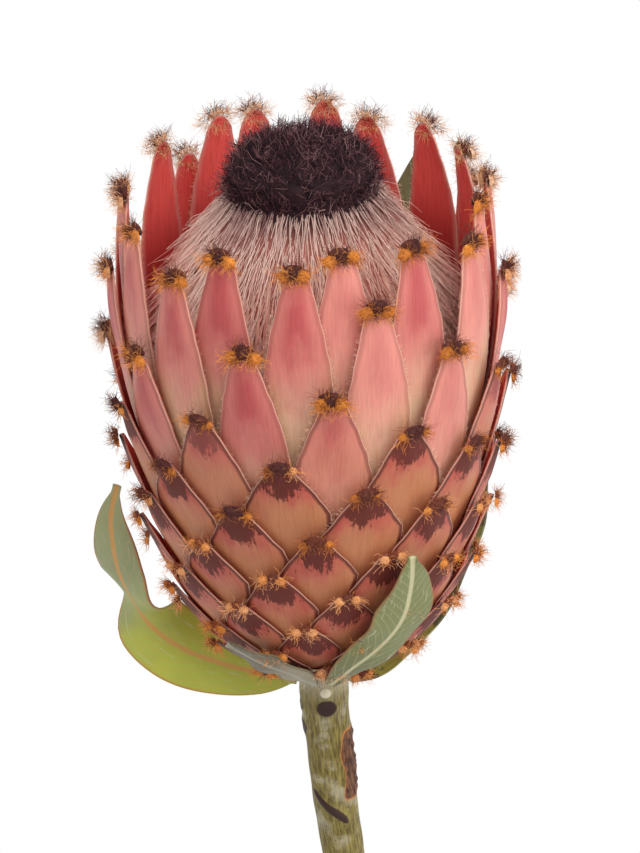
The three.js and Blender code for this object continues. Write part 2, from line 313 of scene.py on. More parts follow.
class Graph:
    """Short ways to add nodes to a shader or geometry node tree."""

    def __init__(self, tree):
        self.tree = tree

    def node(self, kind, inputs=None, **settings):
        made = self.tree.nodes.new(kind)
        for name, value in settings.items():
            setattr(made, name, value)
        for key, value in (inputs or {}).items():
            self.join(made.inputs[key], value)
        return made

    def join(self, socket, value):
        if isinstance(value, bpy.types.NodeSocket):
            self.tree.links.new(value, socket)
        else:
            socket.default_value = value

    def math(self, operation, *values, clamp=False):
        made = self.node("ShaderNodeMath", operation=operation, use_clamp=clamp)
        for place, value in enumerate(values):
            self.join(made.inputs[place], value)
        return made.outputs[0]

    def vector(self, operation, *values):
        made = self.node("ShaderNodeVectorMath", operation=operation)
        for place, value in enumerate(values):
            socket = made.inputs[3] if operation == "SCALE" and place == 1 else made.inputs[place]
            self.join(socket, value)
        return made.outputs["Value"] if operation in ("LENGTH", "DOT_PRODUCT") else made.outputs[0]

    def smooth(self, value, low, high, start=0.0, end=1.0):
        made = self.node("ShaderNodeMapRange", interpolation_type="SMOOTHSTEP")
        for place, given in enumerate((value, low, high, start, end)):
            self.join(made.inputs[place], given)
        return made.outputs[0]

    def mix(self, factor, a, b, blend="MIX"):
        made = self.node("ShaderNodeMix", data_type="RGBA", blend_type=blend)
        self.join(made.inputs[0], factor)
        self.join(made.inputs[6], a)
        self.join(made.inputs[7], b)
        return made.outputs[2]

    def noise(self, vector, scale, detail=2.0, roughness=0.5):
        made = self.node(
            "ShaderNodeTexNoise",
            {"Vector": vector, "Scale": scale, "Detail": detail, "Roughness": roughness},
        )
        return made.outputs[0]

    def combine(self, x, y, z):
        return self.node("ShaderNodeCombineXYZ", {"X": x, "Y": y, "Z": z}).outputs[0]

    def stretched(self, vector, x, y, z):
        return self.vector("MULTIPLY", vector, (x, y, z))


def shader_group(name, inputs, outputs, build):
    """A shader node group; build(graph, inputs) gives the sockets or values of the outputs."""
    group = bpy.data.node_groups.new(name, "ShaderNodeTree")
    kinds = {"f": "NodeSocketFloat", "v": "NodeSocketVector", "c": "NodeSocketColor"}
    for key, kind in inputs.items():
        group.interface.new_socket(key, in_out="INPUT", socket_type=kinds[kind])
    for key, kind in outputs.items():
        group.interface.new_socket(key, in_out="OUTPUT", socket_type=kinds[kind])
    graph = Graph(group)
    given = graph.node("NodeGroupInput").outputs
    ends = graph.node("NodeGroupOutput").inputs
    for key, value in build(graph, given).items():
        graph.join(ends[key], value)
    return group


def material(name, build, **constants):
    """A Principled material; build(graph) gives the sockets to join, constants set the rest."""
    made = bpy.data.materials.new(name)
    made.use_nodes = True
    graph = Graph(made.node_tree)
    shader = made.node_tree.nodes["Principled BSDF"]
    for key, value in constants.items():
        shader.inputs[key.replace("_", " ")].default_value = value
    for key, value in build(graph).items():
        graph.join(shader.inputs[key], value)
    return made


def attribute(graph, name):
    """A number stored on the mesh."""
    return graph.node("ShaderNodeAttribute", attribute_name=name).outputs["Fac"]


def use_group(graph, group, **inputs):
    """A shader node group in a material, with its inputs joined or set."""
    made = graph.node("ShaderNodeGroup", node_tree=group)
    for key, value in inputs.items():
        graph.join(made.inputs[key.replace("_", " ")], value)
    return made.outputs


# ---------------------------------------------------------------- bracts

CREAM = srgb(218, 180, 146)
GREEN_CREAM = srgb(192, 160, 112)
ROSE = srgb(216, 132, 122)
DEEP_ROSE = srgb(178, 74, 76)
TILE_PINK = srgb(182, 90, 74)
TILE_CREAM = srgb(190, 124, 86)
CRIMSON = srgb(160, 52, 48)
STAIN = srgb(84, 26, 16)
# Dark brown of the fibre streaks and of the margin line; on the margins it also stands in for painted shade along the
# raised tile edges.
BROWN_AND_EDGE_SHADE = srgb(98, 42, 30)
MARGIN_PALE = srgb(236, 200, 176)
INNER_CORAL = srgb(232, 92, 86)
INNER_DEEP = srgb(160, 36, 36)
CAP_GREY = srgb(92, 84, 80)


def bract_skin_group():
    """Colour and relief of a bract from where a point is on it."""
    inputs = {
        "Side": "f", "Below": "f", "Edge": "f", "Across": "f", "Index": "f", "Blade": "f", "Inner": "f",
        "Shade": "f",
    }

    def build(graph, given):
        place = graph.combine(given["Side"], given["Below"], graph.math("MULTIPLY", given["Index"], 7.3))
        broad = graph.noise(graph.stretched(place, 0.22, 0.11, 1), 1.0, 3.0)
        fibre = graph.noise(graph.stretched(place, 1.9, 0.16, 1), 1.0, 3.0, 0.6)
        blotch = graph.noise(graph.stretched(place, 0.55, 0.33, 1), 1.0, 4.0, 0.7)
        wander = graph.math("MULTIPLY_ADD", broad, 16.0, -8.0)
        below = graph.math("ADD", given["Below"], wander)
        aside = graph.math("ABSOLUTE", given["Across"])

        # Long upper bracts: rose at the tip, cream below, a deeper rose flame up the middle.
        blade_pale = graph.mix(graph.smooth(aside, 0.25, 1.0), CREAM, GREEN_CREAM)
        rosy = graph.smooth(
            graph.math("ADD", below, graph.math("MULTIPLY", aside, 4.0)), 20.0, 46.0, 1.0, 0.0
        )
        blade = graph.mix(graph.math("MULTIPLY", rosy, 0.92), blade_pale, ROSE)
        flame_height = graph.smooth(
            graph.math("ABSOLUTE", graph.math("SUBTRACT", below, 11.0)), 3.0, 13.0, 1.0, 0.0
        )
        flame_side = graph.smooth(aside, 0.15, 0.8, 1.0, 0.0)
        flame = graph.math(
            "MULTIPLY", graph.math("MULTIPLY", flame_height, flame_side),
            graph.smooth(given["Shade"], 0.1, 0.9, 0.3, 0.95),
        )
        blade = graph.mix(flame, blade, DEEP_ROSE)
        flushed = graph.math("MULTIPLY", graph.smooth(given["Shade"], 0.35, 1.0, 0.0, 0.55), rosy)
        blade = graph.mix(flushed, blade, DEEP_ROSE)

        # Lower tiles: cream pink, crimson near the tip, with dark fibrous stains.
        tile = graph.mix(graph.smooth(below, 7.0, 17.0), TILE_PINK, TILE_CREAM)
        crimson = graph.smooth(
            graph.math("ADD", below, graph.math("MULTIPLY", aside, 3.0)), 4.0, 13.0, 1.0, 0.0
        )
        tile = graph.mix(graph.math("MULTIPLY", crimson, 0.8), tile, CRIMSON)
        reach = graph.smooth(
            graph.math("ADD", given["Below"], graph.math("MULTIPLY", aside, 5.0)), 4.0, 17.0, 0.42, -0.30
        )
        spread = graph.math(
            "ADD", graph.math("ADD", blotch, graph.math("MULTIPLY_ADD", fibre, 0.55, -0.275)), reach
        )
        amount = graph.math(
            "MULTIPLY", graph.smooth(spread, 0.50, 0.62),
            graph.smooth(given["Blade"], 0.15, 0.75, 1.0, 0.0),
        )
        tile = graph.mix(graph.math("MULTIPLY", amount, 0.92), tile, STAIN)
        outer = graph.mix(graph.smooth(given["Blade"], 0.05, 0.8), tile, blade)
        outer = graph.mix(
            graph.math("MULTIPLY", graph.smooth(fibre, 0.38, 0.7), 0.30), outer,
            graph.mix(0.45, outer, BROWN_AND_EDGE_SHADE),
        )

        # Margins: a thin pale rim, and inside it a dark line that is partly the margin's own brown and partly painted
        # shade along the raised edge, strongest on the low tiles.
        rough_edge = graph.math("MULTIPLY_ADD", graph.math("SUBTRACT", fibre, 0.5), 0.8, given["Edge"])
        line = graph.smooth(rough_edge, 0.7, 1.5, 1.0, 0.0)
        line = graph.math("MULTIPLY", line, graph.smooth(given["Blade"], 0.0, 0.9, 0.95, 0.28))
        outer = graph.mix(line, outer, BROWN_AND_EDGE_SHADE)
        rim = graph.smooth(given["Edge"], 0.06, 0.26, 0.5, 0.0)
        outer = graph.mix(rim, outer, MARGIN_PALE)
        cap = graph.smooth(
            graph.math("ADD", given["Below"], graph.math("MULTIPLY_ADD", blotch, 3.0, -1.5)), 0.9, 2.4,
            0.8, 0.0,
        )
        outer = graph.mix(cap, outer, CAP_GREY)

        inner = graph.mix(graph.smooth(given["Below"], 12.0, 40.0), INNER_CORAL, INNER_DEEP)
        inner = graph.mix(graph.smooth(given["Edge"], 0.3, 1.6, 0.8, 0.0), inner, ROSE)
        inner = graph.mix(graph.math("MULTIPLY", graph.smooth(fibre, 0.4, 0.75), 0.35), inner, INNER_DEEP)
        colour = graph.mix(given["Inner"], outer, inner)
        return {
            "Colour": colour, "Relief": graph.math("ADD", fibre, graph.math("MULTIPLY", blotch, 0.5)),
            "Dry": amount,
        }

    return shader_group("bract_skin", inputs, {"Colour": "c", "Relief": "f", "Dry": "f"}, build)


def bract_material(group, name):
    """Skin of bracts and scales, which reads the attributes that bract_shell stores."""

    def build(graph):
        names = ("Side", "Below", "Edge", "Across", "Index", "Blade", "Inner", "Shade")
        skin = use_group(graph, group, **{key: attribute(graph, key.lower()) for key in names})
        bump = graph.node(
            "ShaderNodeBump", {"Height": skin["Relief"], "Strength": 0.30, "Distance": 0.0004}
        )
        return {
            "Base Color": skin["Colour"],
            "Normal": bump.outputs[0],
            "Roughness": graph.math("MULTIPLY_ADD", skin["Dry"], 0.15, 0.52),
        }

    return material(name, build, Subsurface_Weight=0.12, Subsurface_Scale=0.003, Specular_IOR_Level=0.35)


def bract_shell(index, base, rows, columns, rng):
    """Points, faces and attributes of one bract, in the flower's frame."""
    tip = tip_height(index)
    share = np.linspace(0, 1, rows)
    heights = lerp(base, tip, 1 - (1 - share) ** 1.7)
    below = tip - heights
    across = np.sin(np.pi / 2 * np.linspace(-1, 1, columns))
    blade = float(smoothstep(index, BLADE_FROM, BLADE_FULL))
    radius = layer_radius(index, heights)
    spread = np.ones(rows) if index < FIRST_CLAWED else smoothstep(heights, LONG_BRACT_BASE, CLAW_TOP)
    widest = np.radians(lerp(CLAW_ANGLE, BLADE_ANGLE, spread))
    width = half_width(index, below)
    width *= 1 - 0.55 * (1 - np.minimum(1, below / lerp(2.2, 3.4, blade))) ** 2
    width *= 1 + 0.02 * np.sin(heights * 0.9 + rng.uniform(0, 6))
    reach = np.minimum(np.arcsin(np.minimum(0.9, width / radius)), widest)
    side = reach[:, None] * across[None, :]
    exposed = 1 - smoothstep(below, 9, lerp(17, 26, blade))
    swell = lerp(0.55, 0.9, blade) * exposed[:, None] * (1 - across[None, :] ** 2)
    keel = 0.25 * exposed[:, None] * np.exp(-((across[None, :] / 0.16) ** 2)) * (1 - blade * 0.4)
    lean = rng.uniform(-0.3, 0.9) * lerp(0.4, 1.0, blade) * np.maximum(0, 1 - below / 16) ** 2
    outward = swell + keel + lean[:, None]
    middle = bract_angle(index)
    twist = np.radians(rng.uniform(-1.0, 1.0)) * np.maximum(0, 1 - below / 30) ** 2
    angle = middle + side + twist[:, None]
    thick = BRACT_THICKNESS * (1 - 0.35 * np.abs(across) ** 6)[None, :]
    outer = polar(angle, radius[:, None] + outward, heights[:, None])
    inner = polar(angle, radius[:, None] + outward - thick, heights[:, None])
    points = np.vstack((outer.reshape(-1, 3), inner.reshape(-1, 3)))
    millimetres = radius[:, None] * side
    edge = radius[:, None] * reach[:, None] * (1 - np.abs(across))[None, :]
    edge = np.minimum(edge, below[:, None] * 2 + 0.4)
    count = rows * columns

    def both(values):
        flat = np.broadcast_to(values, (rows, columns)).ravel()
        return np.concatenate((flat, flat))

    attributes = {
        "side": both(millimetres),
        "below": both(below[:, None]),
        "edge": both(edge),
        "across": both(across[None, :]),
        "index": np.full(2 * count, float(index)),
        "blade": np.full(2 * count, blade),
        "inner": np.concatenate((np.zeros(count), np.ones(count))),
        "shade": np.full(2 * count, rng.uniform()),
    }
    faces = faces_out(points, plate_faces(rows, columns))
    return points, faces, attributes


def joined(parts):
    """Several (points, faces, attributes) as one."""
    points, faces, attributes, start = [], [], {}, 0
    for part_points, part_faces, part_attributes in parts:
        points.append(part_points)
        faces.append(part_faces + start)
        start += len(part_points)
        for key, values in part_attributes.items():
            attributes.setdefault(key, []).append(values)
    return np.vstack(points), np.vstack(faces), {
        key: np.concatenate(values) for key, values in attributes.items()
    }


def lathe(profile, sides):
    """Surface of (radius, height) pairs turned about the axis, closed all round but open at its ends."""
    rings = [polar(np.linspace(0, 2 * np.pi, sides, endpoint=False), r, h) for r, h in profile]
    points = np.vstack(rings)
    i, j = (
        grid.ravel() for grid in np.meshgrid(np.arange(len(profile) - 1), np.arange(sides), indexing="ij")
    )
    k = (j + 1) % sides
    faces = np.stack((i * sides + j, i * sides + k, (i + 1) * sides + k, (i + 1) * sides + j), 1)
    return points, faces


# ---------------------------------------------------------------- hair

def bristle_tree():
    """Strands that grow out of an emitter mesh, along its flow, gathered into locks."""
    tree = bpy.data.node_groups.new("bristle", "GeometryNodeTree")
    add = tree.interface.new_socket
    add("Emitter", in_out="INPUT", socket_type="NodeSocketGeometry")
    for name, start in (
        ("Density", 1e6), ("Thickness", 6e-5), ("Curl", 0.001), ("Curl Scale", 400.0), ("Clump", 0.0),
        ("Clump Scale", 300.0), ("Spread", 0.25), ("Taper", 0.75), ("Variation", 0.16),
    ):
        add(name, in_out="INPUT", socket_type="NodeSocketFloat").default_value = start
    for name, start in (("Points", 4), ("Seed", 1)):
        add(name, in_out="INPUT", socket_type="NodeSocketInt").default_value = start
    add("Material", in_out="INPUT", socket_type="NodeSocketMaterial")
    add("Strands", in_out="OUTPUT", socket_type="NodeSocketGeometry")
    graph = Graph(tree)
    given = graph.node("NodeGroupInput").outputs

    def named(name, kind="FLOAT"):
        return graph.node("GeometryNodeInputNamedAttribute", {"Name": name}, data_type=kind).outputs[0]

    def store(geometry, name, value, kind="FLOAT", domain="POINT"):
        made = graph.node(
            "GeometryNodeStoreNamedAttribute", {"Geometry": geometry, "Name": name}, data_type=kind,
            domain=domain,
        )
        graph.join(made.inputs["Value"], value)
        return made.outputs[0]

    def random(low, high, salt, kind="FLOAT"):
        seed = graph.math("ADD", given["Seed"], float(salt))
        made = graph.node("FunctionNodeRandomValue", {"Seed": seed}, data_type=kind)
        places = {"FLOAT": (2, 3, 1), "FLOAT_VECTOR": (0, 1, 0)}[kind]
        made.inputs[places[0]].default_value = low
        made.inputs[places[1]].default_value = high
        return made.outputs[places[2]]

    density = graph.math("MULTIPLY", given["Density"], named("dense"))
    scattered = graph.node(
        "GeometryNodeDistributePointsOnFaces",
        {"Mesh": given["Emitter"], "Density": density, "Seed": given["Seed"]},
    )
    position = graph.node("GeometryNodeInputPosition").outputs[0]
    points = store(scattered.outputs["Points"], "root", position, "FLOAT_VECTOR")
    points = store(points, "chance", random(0.0, 1.0, 3))
    jitter = random((-1, -1, -1), (1, 1, 1), 5, "FLOAT_VECTOR")
    aim = graph.vector(
        "ADD", named("flow", "FLOAT_VECTOR"), graph.vector("SCALE", jitter, given["Spread"])
    )
    points = store(points, "aim", graph.vector("NORMALIZE", aim), "FLOAT_VECTOR")
    line = graph.node("GeometryNodeCurvePrimitiveLine", {"Start": (0, 0, 0), "End": (0, 0, 0.001)})
    strand = graph.node("GeometryNodeResampleCurve", {"Curve": line.outputs[0], "Count": given["Points"]})
    placed = graph.node("GeometryNodeInstanceOnPoints", {"Points": points, "Instance": strand.outputs[0]})
    real = graph.node("GeometryNodeRealizeInstances", {"Geometry": placed.outputs[0]})

    t = graph.node("GeometryNodeSplineParameter").outputs["Factor"]
    root = named("root", "FLOAT_VECTOR")
    length = graph.math(
        "MULTIPLY", named("reach"), graph.math("MULTIPLY_ADD", named("chance"), 0.5, 0.75)
    )
    straight = graph.vector("SCALE", named("aim", "FLOAT_VECTOR"), graph.math("MULTIPLY", length, t))
    cells = graph.node("ShaderNodeTexVoronoi", {"Vector": root, "Scale": given["Clump Scale"]})
    centre = cells.outputs["Position"]
    pull = graph.math("MULTIPLY", given["Clump"], graph.math("POWER", t, 1.4))
    gather = graph.vector("SCALE", graph.vector("SUBTRACT", centre, root), pull)
    moved = graph.vector("ADD", root, straight)
    salt = graph.vector("SCALE", graph.combine(named("chance"), named("chance"), named("chance")), 0.02)
    swirl = graph.node(
        "ShaderNodeTexNoise",
        {"Vector": graph.vector("ADD", moved, salt), "Scale": given["Curl Scale"], "Detail": 1.0},
    )
    swirl = graph.vector("SUBTRACT", swirl.outputs["Color"], (0.5, 0.5, 0.5))
    swirl = graph.vector(
        "SCALE", swirl, graph.math("MULTIPLY", graph.math("MULTIPLY", given["Curl"], t), 2.0)
    )
    moved = graph.vector("ADD", graph.vector("ADD", moved, gather), swirl)
    bent = graph.node("GeometryNodeSetPosition", {"Geometry": real.outputs[0], "Position": moved})
    strands = store(bent.outputs[0], "along", t)
    taper = graph.math("SUBTRACT", 1.0, graph.math("MULTIPLY", given["Taper"], t))
    ring = graph.node("GeometryNodeCurvePrimitiveCircle", {"Resolution": 3, "Radius": 1.0})
    mesh = graph.node(
        "GeometryNodeCurveToMesh", {"Curve": strands, "Profile Curve": ring.outputs[0], "Fill Caps": True}
    )
    graph.join(mesh.inputs["Scale"], graph.math("MULTIPLY", taper, given["Thickness"]))
    varied = graph.math("MULTIPLY", graph.math("SUBTRACT", named("chance"), 0.5), given["Variation"])
    shade = graph.math("ADD", named("shade"), varied, clamp=True)
    coordinates = graph.combine(shade, named("along"), 0.0)
    mapped = store(mesh.outputs[0], "OFBake", coordinates, "FLOAT2", "CORNER")
    for used in ("root", "aim", "flow", "reach", "chance", "dense", "shade", "along"):
        removed = graph.node("GeometryNodeRemoveAttribute", {"Geometry": mapped, "Name": used})
        mapped = removed.outputs[0]
    real = graph.node("GeometryNodeRealizeInstances", {"Geometry": mapped})
    finished = graph.node(
        "GeometryNodeSetMaterial", {"Geometry": real.outputs[0], "Material": given["Material"]}
    )
    graph.node("NodeGroupOutput", {"Strands": finished.outputs[0]})
    return tree


def grow(name, emitter_parts, tree, hair_material, **settings):
    """A mesh object of strands grown on emitters, which are removed again."""
    points, faces, attributes = joined(emitter_parts)
    attributes["flow"] = turn_to_row(attributes["flow"])
    attributes["reach"] = attributes["reach"] / 1000
    emitter = mesh_object(name + ".emitter", to_row(points), faces, attributes)
    modifier = emitter.modifiers.new("bristle", "NODES")
    modifier.node_group = tree
    identifiers = {
        item.name: item.identifier for item in tree.interface.items_tree if item.in_out == "INPUT"
    }
    for key, value in settings.items():
        modifier[identifiers[key.replace("_", " ")]] = value
    modifier[identifiers["Material"]] = hair_material
    emitter.update_tag()
    bpy.context.view_layer.update()
    evaluated = emitter.evaluated_get(bpy.context.evaluated_depsgraph_get())
    mesh = bpy.data.meshes.new_from_object(evaluated)
    old = emitter.data
    bpy.data.objects.remove(emitter)
    bpy.data.meshes.remove(old)
    mesh.name = name
    if not len(mesh.polygons):
        raise RuntimeError(f"{name} grew no strands")
    spots = np.empty(len(mesh.vertices) * 3, np.float32)
    mesh.vertices.foreach_get("co", spots)
    spots = spots.reshape(-1, 3)
    low, high = np.array(SIZE_AT_LOAD)
    margin = 0.02 * (high - low)
    spots = np.clip(spots, low - margin * (1, 1, 0) + (0, 0, 0.0001), high + margin)
    mesh.vertices.foreach_set("co", spots.ravel())
    mesh.update()
    mesh.shade_smooth()
    made = bpy.data.objects.new(name, mesh)
    bpy.context.scene.collection.objects.link(made)
    return made


def patch(centre, axes, radii, sides=7, rings=3, cover=0.5, **values):
    """A domed patch of an ellipsoid about a point: axes are its side, outward and up directions."""
    polar_angles = np.linspace(0.05, np.pi * cover, rings + 1)
    around = np.linspace(0, 2 * np.pi, sides, endpoint=False)
    local = [
        (math.sin(p) * math.cos(a), math.cos(p), math.sin(p) * math.sin(a))
        for p in polar_angles
        for a in around
    ]
    local = np.array(local)
    points = centre + (local * radii) @ axes
    flow = unit(local @ axes)
    faces = []
    for ring in range(rings):
        for j in range(sides):
            k = (j + 1) % sides
            faces.append(
                (ring * sides + j, ring * sides + k, (ring + 1) * sides + k, (ring + 1) * sides + j)
            )
    attributes = {"flow": unit(flow + np.asarray(values.get("push", (0, 0, 0))))}
    for key in ("reach", "shade", "dense"):
        attributes[key] = np.full(len(points), float(values.get(key, 1.0)))
    return points, np.array(faces), attributes


def hair_material(name, palette, tip_gain=1.15, roughness=0.75):
    """Strand colour from a palette across U, a little lighter towards the tips along V."""

    def build(graph):
        uv = graph.node("ShaderNodeUVMap", uv_map="OFBake").outputs[0]
        parts = graph.node("ShaderNodeSeparateXYZ", {"Vector": uv}).outputs
        ramp = graph.node("ShaderNodeValToRGB", {"Fac": parts["X"]})
        elements = ramp.color_ramp.elements
        elements[0].position, elements[0].color = palette[0]
        elements[1].position, elements[1].color = palette[-1]
        for position, colour in palette[1:-1]:
            elements.new(position).color = colour
        lift = graph.smooth(parts["Y"], 0.0, 1.0, 0.82, tip_gain)
        lifted = graph.vector("SCALE", ramp.outputs[0], lift)
        return {"Base Color": lifted}

    return material(name, build, Roughness=roughness, Specular_IOR_Level=0.2)


TUFT_PALETTE = (
    (0.0, srgb(44, 22, 24)), (0.2, srgb(98, 54, 50)), (0.4, srgb(150, 78, 44)), (0.6, srgb(238, 150, 62)),
    (0.8, srgb(240, 194, 156)), (1.0, srgb(244, 214, 200)),
)
CROWN_PALETTE = (
    (0.0, srgb(24, 12, 18)), (0.35, srgb(48, 26, 34)), (0.6, srgb(84, 50, 58)), (0.85, srgb(140, 100, 100)),
    (1.0, srgb(206, 176, 170)),
)
SKIRT_PALETTE = (
    (0.0, srgb(92, 52, 56)), (0.2, srgb(168, 122, 118)), (0.4, srgb(232, 196, 184)), (0.75, srgb(252, 224, 208)),
    (1.0, srgb(228, 140, 126)),
)
WOOL_PALETTE = ((0.0, srgb(190, 176, 150)), (0.5, srgb(224, 214, 192)), (1.0, srgb(246, 240, 226)))


def tuft_patches(index, rng, size):
    """The lobes of wool at one bract's tip."""
    angle = bract_angle(index)
    height = tip_height(index)
    out = polar(angle, 1.0, 0.0)
    aside = np.array((math.cos(angle), math.sin(angle), 0.0))
    up = np.array((0.0, 0.0, 1.0))
    axes = np.array((aside, out, up))
    tip = polar(angle, float(layer_radius(index, height)) + 0.3, height)
    front = (1 + math.cos(angle)) / 2
    top = float(smoothstep(index, 44, 56))
    low = 1 - float(smoothstep(index, -4, 22))
    parts = []

    def lobe(sideways, outward, upward, radii, reach, shade, dense, push):
        centre = tip + np.array((sideways, outward, upward)) @ axes
        turned = np.array(push) @ axes
        parts.append(
            patch(
                centre, axes, np.array(radii) * size, push=turned, reach=reach * 0.72 * size, shade=shade,
                dense=dense,
            )
        )

    def jitter(spread):
        return rng.uniform(-spread, spread)

    orange = 0.58 + jitter(0.06)
    beige = 0.84
    if index >= 46:
        lobes = lerp(beige, orange, float(smoothstep(front, 0.35, 0.75)))
        dark = 0.10 + 0.08 * rng.uniform()
        lobe(
            -2.3 + jitter(0.4), 0.7, -0.9 + jitter(0.5), (1.7, 1.2, 1.3), 2.7, lobes, 1.0,
            (-0.5, 0.3, -0.2),
        )
        lobe(
            2.3 + jitter(0.4), 0.7, -0.9 + jitter(0.5), (1.7, 1.2, 1.3), 2.7, lobes, 1.0, (0.5, 0.3, -0.2)
        )
        lobe(jitter(0.4), 0.9, -0.2, (1.5, 1.0, 1.2), 2.5, dark, 1.1, (0, 0.4, 0.4))
        lobe(jitter(0.8), -0.4, 0.4, (2.4, 1.2, 1.2), 3.2, 0.22, 0.8, (0, 0, 0.8))
        if front < 0.5:
            lobe(jitter(0.6), -1.0, -0.8, (2.2, 1.0, 1.6), 2.6, 0.74, 1.6, (0, -0.5, 0.3))
    elif index >= 18:
        dark = 0.16 + 0.12 * rng.uniform()
        lobe(jitter(0.4), 0.8, -0.3, (2.5, 1.0, 1.3), 2.6, dark, 1.1, (0, 0.3, 0.4))
        lobe(
            -2.6 + jitter(0.4), 0.6, -1.1, (1.2, 0.9, 0.9), 2.2, 0.56 + jitter(0.10), 0.9,
            (-0.6, 0.2, -0.2),
        )
        lobe(
            2.6 + jitter(0.4), 0.6, -1.1, (1.2, 0.9, 0.9), 2.2, 0.56 + jitter(0.10), 0.9, (0.6, 0.2, -0.2)
        )
    else:
        orange = 0.56 + 0.14 * rng.uniform()
        lobe(-1.9 + jitter(0.3), 0.7, -0.8, (1.2, 0.9, 0.9), 2.1, orange, 1.0, (-0.6, 0.2, -0.2))
        lobe(1.9 + jitter(0.3), 0.7, -0.8, (1.2, 0.9, 0.9), 2.1, orange, 1.0, (0.6, 0.2, -0.2))
        lobe(jitter(0.3), 0.7, -0.1, (1.3, 0.8, 0.9), 1.9, 0.30 + jitter(0.08), 0.8, (0, 0.3, 0.4))
    return parts


def profile_emitter(profile, sides, flow_up, flow_out, reach, shade, dense):
    """An emitter turned about the axis: reach, shade and dense are functions of (angle, height)."""
    radius = np.array([r for r, h in profile], float)
    height = np.array([h for r, h in profile], float)
    slope = unit(np.stack((np.gradient(radius), np.gradient(height)), 1))
    turned = np.array([1, -1]) * slope[:, ::-1]
    angles = np.linspace(0, 2 * np.pi, sides, endpoint=False)
    rings, flows, values = [], [], {"reach": [], "shade": [], "dense": []}
    for i in range(len(profile)):
        rings.append(polar(angles, radius[i], height[i]))
        aim = flow_up * slope[i] + flow_out * turned[i]
        flows.append(unit(polar(angles, aim[0], aim[1])))
        for key, rule in (("reach", reach), ("shade", shade), ("dense", dense)):
            values[key].append(np.broadcast_to(rule(angles, height[i]), angles.shape))
    i, j = (
        grid.ravel() for grid in np.meshgrid(np.arange(len(profile) - 1), np.arange(sides), indexing="ij")
    )
    k = (j + 1) % sides
    faces = np.stack((i * sides + j, i * sides + k, (i + 1) * sides + k, (i + 1) * sides + j), 1)
    attributes = {"flow": np.vstack(flows)}
    attributes.update({key: np.concatenate(parts) for key, parts in values.items()})
    return np.vstack(rings), faces, attributes


# ---------------------------------------------------------------- leaves

def hugging(steps):
    """Spine and facing of a leaf that lies against the head, from (angle, clearance, height)."""
    at = np.linspace(0, len(steps) - 1, 13)
    angle, clearance, height = (
        along([(i, step[part]) for i, step in enumerate(steps)], at) for part in range(3)
    )
    distance = head_radius(height) + 1.5 + clearance
    slope = (head_radius(height + 1) - head_radius(height - 1)) / 2
    return polar(np.radians(angle), distance, height), polar(np.radians(angle), 1.0, -slope)


def trapped(steps):
    """Spine and facing of a leaf pressed under the head, from (sideways, lift off the surface, height)."""
    sideways, lift, height = np.array(steps, float).T
    surface = BELLY_DEPTH + math.tan(PITCH) * (height - BELLY_HEIGHT)
    spine = np.stack((sideways, surface - lift, height), 1)
    faces = np.stack((sideways * lift / 300, np.ones(len(steps)), -lift / 30), 1)
    return spine, faces


